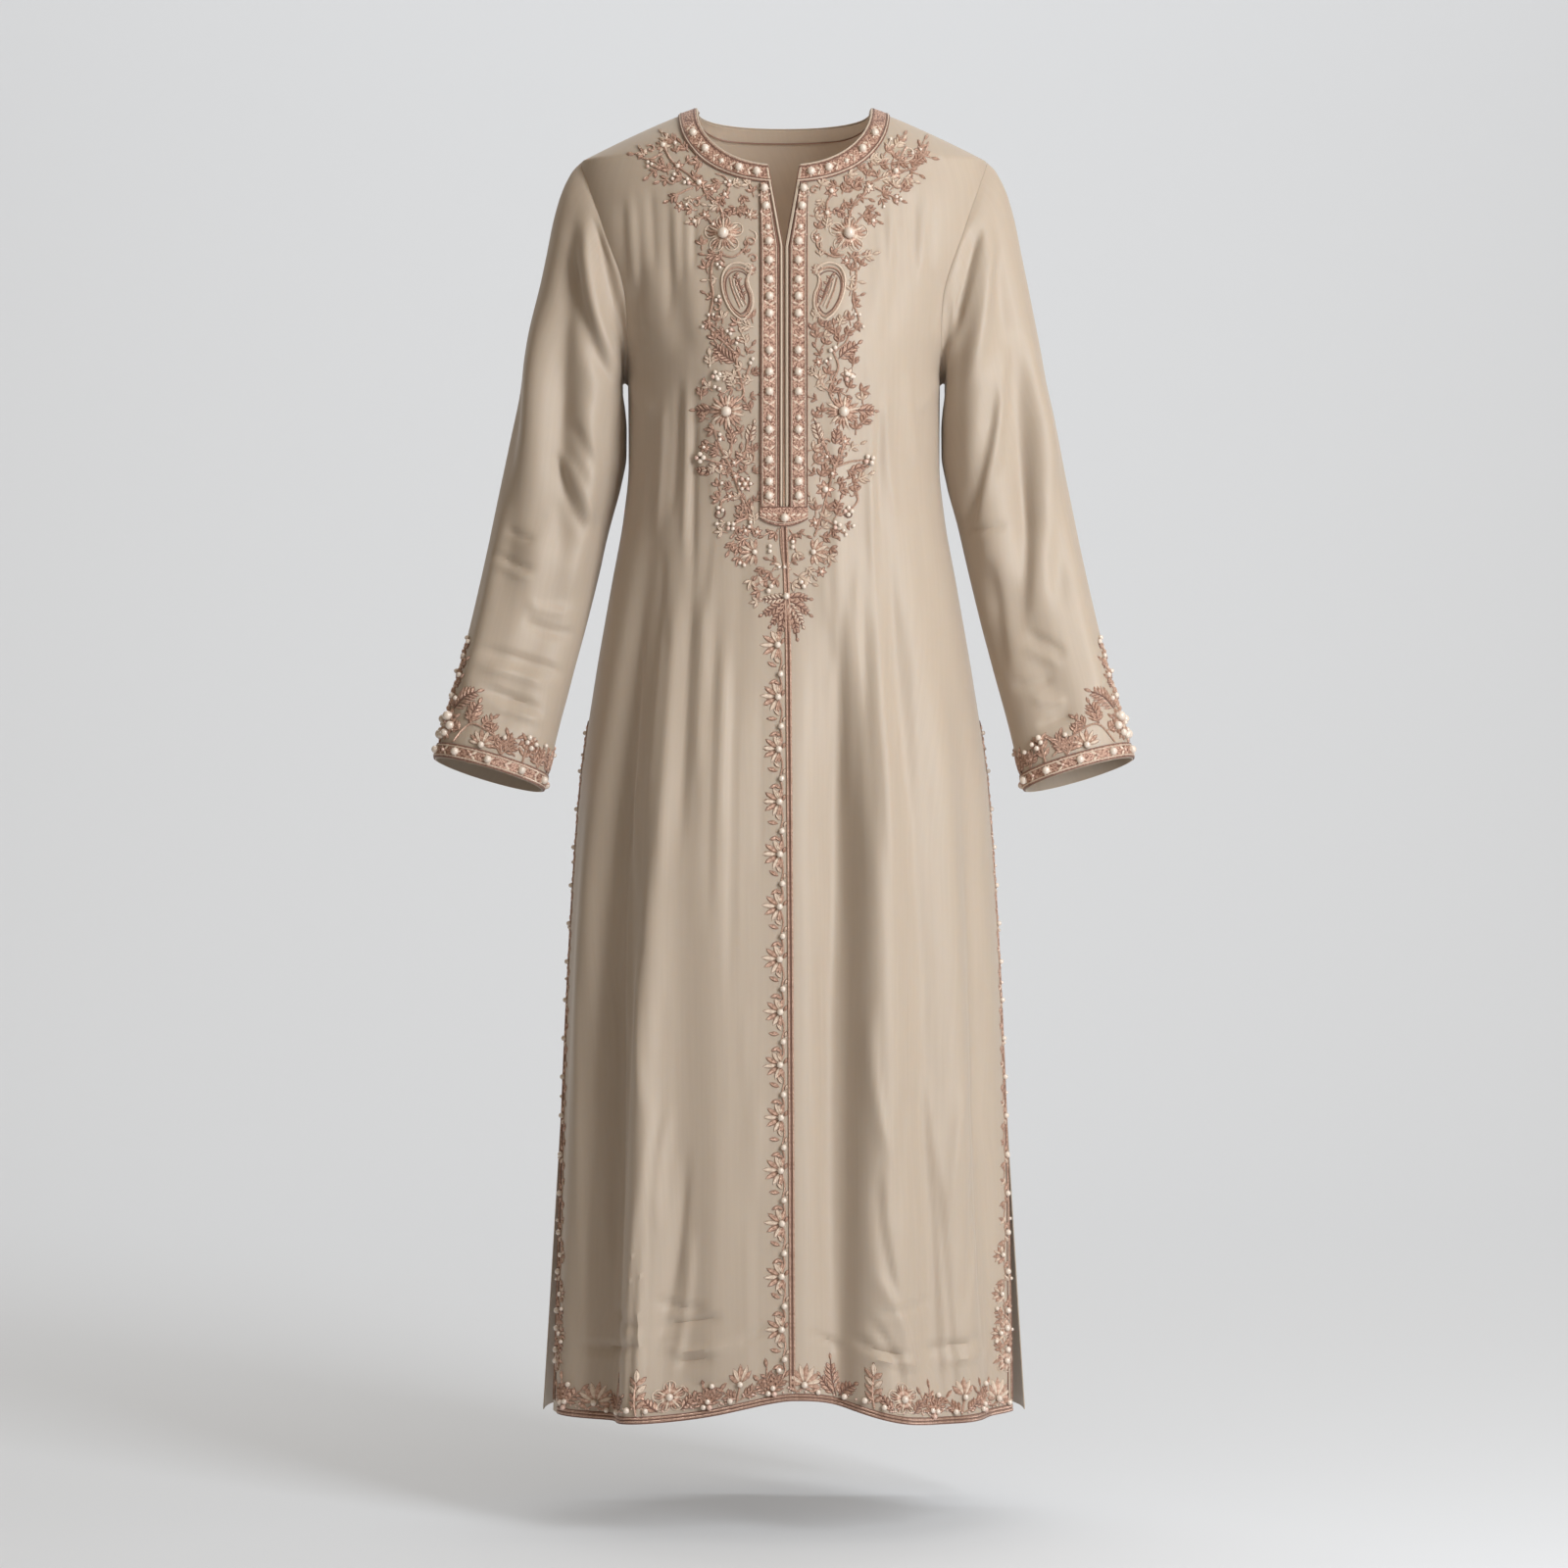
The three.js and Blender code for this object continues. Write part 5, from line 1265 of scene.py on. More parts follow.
MATERIALS = {
    "thread": thread_material(
        "rose_gold_thread", (0.355, 0.190, 0.129, 1), (0.70, 0.472, 0.360, 1), 0.32, 0.38),
    "pale": thread_material(
        "blush_thread", (0.62, 0.465, 0.355, 1), (0.80, 0.650, 0.520, 1), 0.33, 0.15),
    # Dark rose cord for outlines and veins; the same material colours the dark sheets under the leaves,
    # which are painted shade.
    "dark": thread_material(
        "dark_rose_cord_and_painted_shade", (0.17, 0.080, 0.054, 1), (0.28, 0.145, 0.102, 1), 0.5, 0.15),
    "piping": thread_material(
        "crepe_piping", (0.52, 0.41, 0.31, 1), (0.60, 0.48, 0.37, 1), 0.5, 0.0, 0.8),
    "ground": ground_material(),
    "pearl": pearl_material("ivory_pearl", (0.69, 0.580, 0.487, 1)),
    "rose": pearl_material("blush_bead", (0.62, 0.42, 0.34, 1), 0.28),
}
SLOTS = {"thread": "embroidery_thread", "pale": "embroidery_thread", "dark": "embroidery_thread",
         "piping": "crepe", "ground": "embroidery_thread", "pearl": "pearl", "rose": "pearl"}

# ------------------------------------------------------------------ bands of the neck and placket
NECKBAND = {"inset": 0.6, "width": 16.5}
NECKBAND_PEARLS = [12, 29, 47, 66, 86]  # distances from the notch along the band's middle
SMALL_NECKBAND_PEARL = 47
PLACKET = {"half_width": 22, "top_z": -81, "bottom_z": -384, "end_z": -402, "inset": 4.9}
PLACKET_PEARLS = [-87, -104, -124, -138, -156, -174.5, -190, -206, -240, -260, -278, -302, -313, -341,
                  -361, -374]
SMALL_PLACKET_PEARLS = (-124, -302)
PEARL = 3.8
EDGE_HEIGHT = 1.2  # of a cord along a band's edge
TOP_HEIGHT = 2.1  # of a cord on top of a band


def neck_line(b):
    """The neckline b inside its edge, from the notch to the shoulder seam."""
    start = float(neck_angle(slit_x(-NECK["front_drop"] - b) + 1.2, b))
    return neckline(np.linspace(start, math.pi / 2 - 0.004, 90), b)


def at_distance(line, distance):
    far = run_length(line)
    return np.interp(distance, far, line[:, 0]), np.interp(distance, far, line[:, 1])


def between(first, second, share):
    return first * (1 - share) + second * share


def neck_embroidery(side):
    """The band round one side of the neck, from the notch to the shoulder seam."""
    work = Work(lambda x, z, lift: front_place(side * x, z, lift))
    inner = neck_line(NECKBAND["inset"])
    outer = neck_line(NECKBAND["inset"] + NECKBAND["width"])
    ribbon(work, "ground", inner, outer, BAND_HEIGHT)
    cord(work, "piping", inner, 1.1, height=EDGE_HEIGHT)
    for share, thread, radius in ((0.12, "dark", 0.6), (0.86, "dark", 0.55), (0.93, "pale", 0.6)):
        cord(work, thread, between(inner, outer, share), radius, height=TOP_HEIGHT)
    cord(work, "dark", outer, 0.7, height=EDGE_HEIGHT)
    middle = (inner + outer) / 2
    for n, distance in enumerate(NECKBAND_PEARLS):
        x, z = at_distance(middle, distance)
        band_pearl(work, x, z, 2.4 if distance == SMALL_NECKBAND_PEARL else PEARL, n * 17)
        a, b = at_distance(middle, distance + 8.5), at_distance(middle, distance + 10.5)
        heading = math.degrees(math.atan2(b[1] - a[1], b[0] - a[0]))
        for hand in (-1, 1):
            band_leaf(work, "pale", *a, heading + 180 + hand * 55, 5.5, 2.4)
            band_leaf(work, "thread", *a, heading + hand * 55, 5.5, 2.4)
        work.bead(*a, 1.2, "rose", -1.0)
    return work


def placket_crosses(work, rng, x, pearl_z, gap):
    """Four-leaved crosses in a wide gap under a pearl."""
    count = 0 if gap <= 13 else 1 if gap <= 26 else 2
    for m in range(count):
        middle = pearl_z - gap * (m + 1) / (count + 1)
        for angle in (35, 145, 215, 325):
            tone = "pale" if angle < 180 else "thread"
            band_leaf(work, tone, x, middle, angle + rng.uniform(-8, 8), 6.2, 2.6)
        work.bead(x, middle, 1.3, "rose", -0.8)


def placket_embroidery(side):
    """One placket strip with its pearls, from under the neckband to the closing band."""
    work = Work(lambda x, z, lift: front_place(side * x, z, lift))
    z = np.linspace(PLACKET["top_z"], PLACKET["bottom_z"], 110)
    inner = line_of(slit_x(z) + PLACKET["inset"], z)
    outer = line_of(PLACKET["half_width"], z)
    ribbon(work, "ground", inner, outer, BAND_HEIGHT)
    for share, thread, radius in ((0.05, "dark", 0.6), (0.13, "pale", 0.5), (0.87, "pale", 0.5),
                                  (0.95, "dark", 0.6)):
        cord(work, thread, between(inner, outer, share), radius, height=TOP_HEIGHT)
    top = np.linspace(-NECK["front_drop"] - 1, PLACKET["bottom_z"], 120)
    for offset, thread, radius in ((2.6, "piping", 1.35), (0.75, "dark", 0.5), (4.4, "dark", 0.5)):
        cord(work, thread, line_of(slit_x(top) + offset, top), radius, height=radius * 0.8)
    rng = random.Random(5 + side)
    ends = PLACKET_PEARLS[1:] + [PLACKET["bottom_z"] - 4]
    for n, (pearl_z, below) in enumerate(zip(PLACKET_PEARLS, ends)):
        x = (float(slit_x(pearl_z)) + PLACKET["inset"] + PLACKET["half_width"]) / 2
        band_pearl(work, x, pearl_z, 2.6 if pearl_z in SMALL_PLACKET_PEARLS else PEARL, n * 23)
        placket_crosses(work, rng, x, pearl_z, pearl_z - below)
        for _ in range(3):
            aside = rng.choice((-1, 1)) * rng.uniform(4.4, 5.6)
            work.bead(x + aside, pearl_z - rng.uniform(4, 8), 0.9, "rose", -1.6)
    return work


def placket_end_embroidery():
    """The closing band under the placket, with its pearl."""
    work = Work(front_place)
    x = np.linspace(-PLACKET["half_width"], PLACKET["half_width"], 34)
    upper = line_of(x, PLACKET["bottom_z"] - 0.6)
    lower = line_of(x, PLACKET["end_z"] + 7 * (np.abs(x) / PLACKET["half_width"]) ** 2)
    ribbon(work, "ground", upper, lower, BAND_HEIGHT)
    for line in (upper, lower):
        cord(work, "dark", line, 0.7, height=1.4)
    cord(work, "pale", between(upper, lower, 0.85), 0.5, height=TOP_HEIGHT)
    band_pearl(work, 0.7, -394.5, 4.0)
    for hand in (-1, 1):
        for n in range(3):
            for tone, length, up in (("pale", 5.5, 1), ("thread", 5.0, -1)):
                band_leaf(work, tone, hand * (6 + n * 5), -393, up * (90 - hand * 60), length, 2.5)
    return work


# ------------------------------------------------------------------ the yoke
STEMS_RIGHT = [  # wearer's right
    [(-77, -78), (-72, -92), (-60, -104), (-56, -118)], [(-64, -71), (-56, -74), (-51, -83), (-54, -92)],
    [(-113, -42), (-106, -56), (-99, -63), (-88, -72), (-80, -80)], [(-138, -50), (-127, -55), (-113, -50)],
    [(-126, -60), (-113, -66), (-104, -64)], [(-112, -74), (-104, -80), (-96, -70)],
    [(-104, -93), (-94, -88), (-84, -84)], [(-84, -116), (-74, -112), (-66, -120)],
    [(-56, -147), (-66, -156), (-68, -172), (-66, -190), (-70, -214), (-62, -226)],
    [(-44, -242), (-43, -256), (-37, -279), (-44, -288)], [(-62, -226), (-54, -234), (-44, -244)],
    [(-64, -312), (-58, -330), (-50, -346), (-40, -373), (-33, -394), (-27, -412)],
    [(-50, -346), (-64, -342), (-76, -338)], [(-40, -373), (-56, -378), (-59, -388)],
    [(-33, -394), (-42, -398), (-49, -402)], [(-52, -312), (-48, -322), (-50, -340)],
    [(-33, -318), (-36, -336), (-46, -346)], [(-30, -250), (-34, -262), (-38, -272)],
    [(-57, -150), (-46, -152), (-34, -142), (-34, -134)],
]
STEMS_LEFT = [
    [(78, -78), (74, -92), (64, -104), (59, -118)], [(44, -78), (46, -88), (40, -100), (40, -110)],
    [(115, -42), (108, -56), (104, -68), (92, -74), (80, -80)], [(136, -36), (130, -50), (115, -50)],
    [(128, -60), (116, -66), (104, -68)], [(114, -74), (106, -84), (96, -76)],
    [(106, -95), (96, -90), (84, -84)], [(83, -116), (74, -112), (66, -120)],
    [(59, -147), (66, -156), (67, -172), (64, -192), (70, -214), (60, -226)],
    [(45, -240), (50, -256), (42, -276), (46, -288)], [(60, -226), (56, -234), (46, -242)],
    [(53, -314), (54, -332), (46, -348), (40, -372), (34, -394), (28, -412)],
    [(46, -348), (62, -342), (78, -340)], [(66, -366), (68, -378), (59, -388), (48, -392)],
    [(34, -394), (42, -398), (48, -402)], [(34, -316), (40, -334), (47, -348)],
    [(31, -262), (36, -272), (46, -282)], [(56, -150), (46, -152), (32, -144), (30, -134)],
]
SPRIGS = table(
    "x z angle length pairs leaf tip",
    # over the wearer's right shoulder
    (-128, -50, 175, 12, 1, 8, None), (-130, -52, 120, 8, 1, 7, None), (-118, -66, 215, 10, 1, 7, None),
    (-108, -74, 200, 8, 1, 7.5, None), (-98, -92, 200, 10, 2, 6.5, None), (-110, -36, 120, 9, 1, 7, None),
    (-86, -76, 60, 12, 1, 7, None), (-92, -60, 30, 10, 1, 7, None), (-68, -90, 200, 9, 1, 7, None),
    (-50, -84, 20, 12, 2, 7, None), (-56, -92, 250, 11, 2, 7.5, None), (-40, -92, 290, 10, 2, 6.5, None),
    (-44, -104, 320, 10, 2, 7, None), (-76, -112, 200, 12, 2, 6.5, None), (-62, -100, 130, 9, 1, 6, None),
    (-100, -50, 100, 10, 1, 6.5, 1.8), (-34, -106, 200, 9, 1, 6.5, None), (-88, -92, 250, 9, 1, 6, 1.6),
    # over the left
    (126, -44, 60, 12, 1, 8, None), (126, -52, -5, 12, 1, 8, None), (116, -64, -30, 12, 1, 7, None),
    (112, -74, -15, 9, 1, 7.5, None), (100, -92, -20, 10, 2, 6.5, None), (108, -38, 60, 9, 1, 7, None),
    (88, -76, 120, 12, 1, 7, None), (94, -58, 150, 10, 1, 7, None), (70, -92, -20, 9, 1, 7, None),
    (52, -84, 160, 12, 2, 7, None), (56, -96, 290, 11, 2, 7.5, None), (36, -96, 240, 9, 2, 6.5, None),
    (76, -102, -30, 10, 2, 7, None), (76, -112, -20, 12, 2, 6.5, None), (62, -102, 50, 9, 1, 6, None),
    (98, -46, 80, 10, 1, 6.5, 1.8), (30, -104, -20, 8, 1, 6, None), (90, -94, 290, 9, 1, 6, 1.6),
    # outer edge beside the paisleys
    (-62, -152, 165, 12, 2, 7.5, None), (-62, -172, 185, 9, 1, 7.5, None), (-66, -214, 200, 10, 2, 6.5, 1.6),
    (-66, -190, 150, 8, 1, 6, None), (60, -152, 15, 12, 2, 7.5, None), (60, -174, -5, 9, 1, 7.5, None),
    (64, -214, -20, 10, 2, 6.5, 1.6), (64, -192, 30, 8, 1, 6, None),
    (-36, -150, 90, 8, 1, 6, None), (34, -152, 90, 8, 1, 6, None),
    # the vines under them
    (-56, -228, 130, 12, 2, 6.5, None), (-34, -244, 60, 9, 1, 6.5, None), (-31, -262, 30, 8, 2, 6, None),
    (-50, -262, 190, 12, 1, 6.5, 2.0), (-46, -276, 200, 10, 1, 6, None), (-32, -284, 20, 8, 1, 5.5, None),
    (-60, -330, 150, 10, 1, 6.5, None), (-62, -346, 200, 9, 2, 6.5, None), (-30, -352, 30, 8, 1, 6, None),
    (-46, -366, 160, 12, 2, 6, 1.8), (-28, -380, 60, 8, 1, 5.5, None), (-54, -398, 190, 8, 1, 5.5, 1.8),
    (-40, -402, 230, 9, 2, 6, None), (56, -228, 50, 12, 2, 6.5, None), (34, -246, 120, 9, 1, 6.5, None),
    (31, -262, 150, 8, 2, 6, None), (52, -262, -10, 12, 1, 6.5, 2.0), (48, -278, -20, 10, 1, 6, None),
    (31, -286, 160, 8, 1, 5.5, None), (60, -332, 30, 12, 1, 6.5, None), (58, -350, -20, 10, 2, 6.5, None),
    (30, -354, 150, 8, 1, 6, None), (46, -362, 20, 12, 2, 6, None), (28, -382, 120, 8, 1, 5.5, None),
    (56, -400, -10, 8, 1, 5.5, 1.8), (42, -404, -50, 9, 2, 6, None),
    # the point under the placket
    (-18, -440, 230, 10, 2, 6.5, None), (20, -440, -50, 10, 2, 6.5, None), (-10, -408, 200, 9, 1, 6, None),
    (12, -408, -20, 9, 1, 6, None), (-14, -452, 200, 9, 1, 6.5, None), (17, -452, -20, 9, 1, 6.5, None),
    (-6, -436, 160, 8, 1, 6, None), (6, -436, 20, 8, 1, 6, None))
FEATHERS = table(
    "x z angle length width",
    (-44, -252, 140, 27, 13), (-66, -294, 180, 17, 12), (-33, -326, 75, 20, 10), (-47, -326, 100, 14, 9),
    (-46, -104, 215, 14, 8), (50, -248, 38, 24, 13), (67, -295, 0, 17, 12), (34, -324, 105, 20, 10),
    (47, -326, 80, 14, 9), (46, -106, -35, 14, 8), (-68, -352, 165, 13, 8), (62, -350, 15, 14, 8),
    (2.3, -468, 184, 23, 9), (2.3, -470, 212, 27, 10), (2.3, -468, -4, 22, 9), (2.3, -470, -33, 26, 10),
    (2, -472, 237, 27, 9), (3, -472, -58, 27, 9), (1, -474, 258, 32, 9), (4.0, -474, 284, 33, 9))
BLOSSOMS = table(
    "x z reach petals bead turn",
    (-113, -42, 8, 6, 2.6, 0), (-99, -63, 6.5, 6, 2.2, 20), (-79, -80, 8, 6, 2.8, 10),
    (-84, -116, 6, 5, 2.0, 0), (-55, -92, 5.5, 5, 1.8, 30), (-32, -112, 5, 5, 1.6, 0),
    (104, -68, 8, 6, 2.8, 0), (44, -89, 7, 6, 2.4, 20), (40, -110, 6, 6, 2.2, 10),
    (83, -116, 6, 5, 2.0, 0), (79, -84, 6, 6, 2.0, 30), (30, -134, 5, 6, 1.6, 0),
    (-36, -363, 8, 6, 2.0, 0), (38, -368, 9, 7, 3.0, 0), (-30, -163, 4, 5, 1.4, 0),
    (59, -262, 7, 6, 2.2, 0), (-66, -120, 5, 5, 1.6, 0), (120, -50, 5, 5, 1.6, 0))
CLUSTERS = table(
    "x z count bead spread turn",
    (-62, -263, 4, 2.1, 3.2, 20), (-77, -338, 4, 2.4, 3.3, 0), (-49, -402, 4, 2.0, 3.0, 40),
    (59, -264, 3, 2.2, 3.0, 0), (78, -340, 4, 2.4, 3.3, 30), (59, -388, 4, 2.2, 3.2, 0),
    (48, -401, 3, 2.0, 2.8, 0), (-59, -387, 3, 1.9, 2.6, 0), (-126, -60, 3, 1.7, 2.4, 0),
    (106, -95, 3, 1.8, 2.6, 0), (-13, -423, 2, 2.0, 2.4, 90), (8, -419, 2, 2.0, 2.4, 90),
    (-13, -460, 2, 2.3, 2.4, 60), (17, -456, 2, 2.3, 2.4, 120), (45, -239, 2, 2.2, 2.4, 30),
    (-30, -250, 2, 1.9, 2.2, 60), (-68, -206, 2, 1.6, 2.2, 0), (68, -206, 2, 1.6, 2.2, 0),
    (-36, -363, 6, 1.7, 5.2, 0), (2.3, -467, 1, 3.2, 0, 0), (-2, -440, 2, 1.7, 2.6, 0))
YOKE_ROSES = table("x z reach turn seed", (-56, -130, 18, 20, 2), (60, -130, 18, 160, 7))
YOKE_DAISIES = table("x z reach petals seed", (-52.5, -296, 18, 22, 4), (54.5, -296, 17, 21, 9))
PAISLEY_Z = -185
YOKE = {"half_width": 138, "top": -30, "bottom": -506}
KEPT_CLEAR = {"neck": 21, "placket": 26, "stem": 5, "edge": 3}  # of small motifs, from the middle or edge
FILL_TRIES = 5200
FILL_REACH = 3.2
YOKE_EDGE = table(
    "z x", (-28, 99), (-50, 136), (-67, 133), (-84, 118), (-98, 112), (-109, 92), (-127, 83), (-152, 79),
    (-177, 73), (-217, 72), (-255, 70), (-275, 76), (-293, 82), (-320, 73), (-338, 82), (-360, 73),
    (-380, 67), (-404, 61), (-424, 51), (-457, 33), (-486, 22), (-506, 7))
yoke_edge = track(YOKE_EDGE, "z", "x")


def on_yoke(x, z):
    """Whether a place is on the embroidered ground, clear of the bands."""
    across = abs(x) / (NECK["half_width"] + KEPT_CLEAR["neck"])
    down = max(0, -z) / (NECK["front_drop"] + KEPT_CLEAR["neck"])
    clear_of_neck = across ** NECK["roundness"] + down ** NECK["roundness"] > 1
    beside_placket = z > PLACKET["end_z"] - KEPT_CLEAR["edge"]
    clear_of_middle = abs(x) > KEPT_CLEAR["placket" if beside_placket else "stem"]
    return clear_of_neck and clear_of_middle and abs(x) < float(yoke_edge(z)) - KEPT_CLEAR["edge"]


def yoke_taken():
    """Discs already filled by the larger motifs: (x, z, radius)."""
    discs = [(r["x"], r["z"], r["reach"] + 1) for r in YOKE_ROSES]
    discs += [(d["x"], d["z"], d["reach"] - 1) for d in YOKE_DAISIES]
    discs += [(side * 42.5, PAISLEY_Z + up, 15) for side in SIDE_NAME for up in (-10, 6, 14)]
    discs += [(side * 27, -426, 11) for side in SIDE_NAME]
    for f in FEATHERS:
        for share in (0.25, 0.75):
            discs.append((*ahead_of(f["x"], f["z"], f["angle"], f["length"] * share), 5))
    for s in SPRIGS:
        discs.append((*ahead_of(s["x"], s["z"], s["angle"], s["length"] * 0.6), 4.5))
    discs += [(b["x"], b["z"], b["reach"]) for b in BLOSSOMS]
    discs += [(c["x"], c["z"], c["spread"] + 2) for c in CLUSTERS]
    return discs


def fill_yoke(work):
    """Small leaves, buds and beads that close the ground between the larger motifs."""
    rng = random.Random(77)
    discs = yoke_taken()
    for _ in range(FILL_TRIES):
        z = rng.uniform(YOKE["bottom"], YOKE["top"])
        x = rng.uniform(-YOKE["half_width"], YOKE["half_width"])
        if not on_yoke(x, z) or any(math.hypot(x - a, z - b) < r + FILL_REACH for a, b, r in discs):
            continue
        discs.append((x, z, FILL_REACH))
        side = 1 if x > 0 else -1
        heading = 90 - side * (60 if z > -120 else 35) + rng.uniform(-45, 45)
        if z < PLACKET["end_z"] - 2:
            heading = -90 + side * 50 + rng.uniform(-40, 40)
        kind = rng.random()
        tail = ahead_of(x, z, heading + 180 + rng.uniform(-25, 25), 5.5)
        if kind < 0.46:
            stem(work, tail, (x, z), radius=0.7)
            trefoil(work, x, z, heading, rng.uniform(8, 10.5), "pale" if rng.random() < 0.35 else "thread")
        elif kind < 0.76:
            sprig(work, *tail, heading, rng.uniform(10, 13), 2, rng.uniform(7, 8.5), None,
                  rng.uniform(-14, 14), "pale" if rng.random() < 0.3 else "thread")
        elif kind < 0.84:
            blossom(work, x, z, rng.uniform(5, 6.2), 6, 1.6, rng.uniform(0, 60))
        elif kind < 0.93:
            cluster(work, x, z, rng.choice((2, 3)), rng.uniform(1.6, 2.0), 2.3, rng.uniform(0, 180))
            leaf(work, "thread", *tail, heading, 7, 3.2)
        else:
            curl(work, x, z, 4.6, heading, 1.1, side)


def table_motifs(work):
    """The stems, sprigs, feathers, blossoms and clusters of the tables."""
    for points in STEMS_RIGHT + STEMS_LEFT:
        stem(work, *points)
    for n, s in enumerate(SPRIGS):
        sprig(work, s["x"], s["z"], s["angle"], s["length"], s["pairs"], s["leaf"], s["tip"],
              12 if n % 2 else -12, "pale" if n % 4 == 1 else "thread")
    for n, f in enumerate(FEATHERS):
        tone = "pale" if n % 5 == 2 else "thread"
        feather(work, f["x"], f["z"], f["angle"], f["length"], f["width"], tone)
    for n, b in enumerate(BLOSSOMS):
        tone = "pale" if n % 5 == 0 else "thread"
        blossom(work, b["x"], b["z"], b["reach"], b["petals"], b["bead"], b["turn"], tone)
    for c in CLUSTERS:
        cluster(work, c["x"], c["z"], c["count"], c["bead"], c["spread"], c["turn"])


def large_motifs(work):
    for r in YOKE_ROSES:
        rose(work, r["x"], r["z"], r["reach"], r["turn"], 5.2, r["seed"])
    for d in YOKE_DAISIES:
        daisy(work, d["x"], d["z"], d["reach"], d["petals"], 4.9, d["seed"])
    paisley(work, -43, PAISLEY_Z, -1)
    paisley(work, 42, PAISLEY_Z, 1)


def yoke_curls(work):
    """Curls and half flowers beside the large motifs."""
    for side in SIDE_NAME:
        curl(work, side * 32, -134, 8, 90, 1.0, side, "pale", 0.7)
        fan(work, side * 27, -426, 180 if side < 0 else 0, 190, 9, 13, 2.6)
        leaf(work, "pale", side * 23, -448, 270 - side * 20, 11, 4.5, rise=1.2)
        leaf(work, "thread", side * 20, -452, 270 - side * 34, 9, 3.6, rise=1.2)
        curl(work, side * 33, -338, 7.5, 0 if side > 0 else 180, 1.5, -side)
        curl(work, side * 60, -390, 6.5, 60, 1.2, side, "dark", 0.6)
        curl(work, side * 62, -372, 5.5, 200, 1.1, -side, "thread", 0.6)
    curl(work, 115, -49, 9, 200, 1.2, 1, "pale", 0.8)
    fan(work, -32, -114, 60, 130, 6, 9)
    fan(work, 114, -76, -40, 110, 5, 8)
    fan(work, -113, -42, 150, 120, 5, 8)


def yoke_point(work):
    """The stem that runs down from the placket into the yoke's point."""
    stem(work, (0.9, -400), (-2.9, -407), (-1.8, -428), (0.9, -444), (2.3, -467), radius=0.9)
    stem(work, (2.3, -467), (4, -486), (4.4, -500), radius=0.7)
    for angle in (20, 160, 200, -20):
        leaf(work, "pale", -1.8, -439, angle, 9, 3.6, rise=1.1)


def yoke_embroidery():
    """Everything stitched on the yoke, between the bands and the point under the placket."""
    work = Work(front_place)
    table_motifs(work)
    large_motifs(work)
    yoke_curls(work)
    yoke_point(work)
    fill_yoke(work)
    return work


# ------------------------------------------------------------------ centre braid and its vine
VINE = {"top": -512, "pitch": 48.1, "flowers": 14, "aside": -9.5}


def climb(work, rng, at):
    """One step of the vine beside the braid: a half flower, a bud, and the leaves between."""
    x = float(seam_x(at)) + VINE["aside"]
    fan(work, x + rng.uniform(-0.6, 0.6), at, 180 + rng.uniform(-6, 6), 195, 7,
        13.5 + rng.uniform(-0.8, 0.8), 3.1, width=0.34)
    leaf(work, "thread", x + 1, at - 3, 250 + rng.uniform(-8, 8), 10, 4.0)
    leaf(work, "pale", x + 1, at + 3, 112 + rng.uniform(-8, 8), 9, 3.8)
    leaf(work, "thread", x + 3, at + 1, 60 + rng.uniform(-8, 8), 6, 2.8)
    low = at - 27
    stem(work, (x + 1, at - 4), (x + 3.5, at - 14), (x + 1.5, low + 2), radius=0.8)
    stem(work, (x + 1.5, low - 2), (x + 3.4, low - 10), (x + 0.5, at - VINE["pitch"] + 4), radius=0.8)
    work.bead(x + 2.5, low, 2.9)
    leaf(work, "thread", x - 1, low + 7, 165 + rng.uniform(-15, 15), 9.5, 3.8)
    leaf(work, "pale", x + 1, low + 10, 128 + rng.uniform(-10, 10), 7.5, 3.2)
    leaf(work, "thread", x - 0.5, low - 5, 205 + rng.uniform(-10, 10), 8.5, 3.6)
    leaf(work, "thread", x + 2, low - 9, 150 + rng.uniform(-10, 10), 6.5, 3.0)
    leaf(work, "pale", x + 4, low + 4, 70 + rng.uniform(-10, 10), 5.5, 2.6)


def centre_embroidery():
    """Two twisted cords down the centre seam, and the half flowers that climb beside them."""
    work = Work(front_place)
    z = np.linspace(PLACKET["end_z"], hem_z(0.0) + 12, 420)
    for offset in (-1.75, 1.75):
        cord(work, "thread", line_of(seam_x(z) + offset, z), 1.0, sides=6, height=0.7)
    cord(work, "dark", line_of(seam_x(z[::2]), z[::2]), 0.7, height=0.2)
    rng = random.Random(11)
    for n in range(VINE["flowers"]):
        climb(work, rng, VINE["top"] - n * VINE["pitch"])
    return work


# ------------------------------------------------------------------ hem and side slits
HEM_REACH = 243  # round the hem, from the centre seam to each end of the border
HEM_LOW = 7.5  # of the plants' feet over the hem's edge


def leafy_spike(work, x, z, levels, length, width, pale_level=None):
    """Pairs of leaves up a stem."""
    for level in levels:
        tone = "pale" if level == pale_level else "thread"
        leaf_pair(work, tone, x, z + level, 90, 42, length, width)


# Every plant takes the same arguments, so that the border can call them in turn.
def bush(work, rng, at, seed):
    for angle in (50, 75, 105, 130):
        sprig(work, at, HEM_LOW, angle + rng.uniform(-6, 6), rng.uniform(18, 27), 3, 8.5,
              2.6 if angle == 75 else None, 6)
    cluster(work, at, HEM_LOW + 3, 3, 2.6, 3.4, rng.uniform(0, 90))


def half_flower(work, rng, at, seed):
    fan(work, at, HEM_LOW + 7, 90 + rng.uniform(-10, 10), 175, 9, 17, 3.2)
    stem(work, (at - 8, HEM_LOW), (at, HEM_LOW + 4), (at + 9, HEM_LOW))
    leaf(work, "thread", at - 7, HEM_LOW + 1, 150, 9, 4)
    leaf(work, "thread", at + 7, HEM_LOW + 1, 30, 9, 4)
    work.bead(at + 13, HEM_LOW + 1, 2.6)


def branch(work, rng, at, seed):
    feather(work, at, HEM_LOW, 92 + rng.uniform(-8, 8), 33, 15)
    feather(work, at - 2, HEM_LOW + 1, 132, 21, 11)
    feather(work, at + 2, HEM_LOW + 1, 48, 21, 11)
    work.bead(at + 7, HEM_LOW + 2, 3.0)


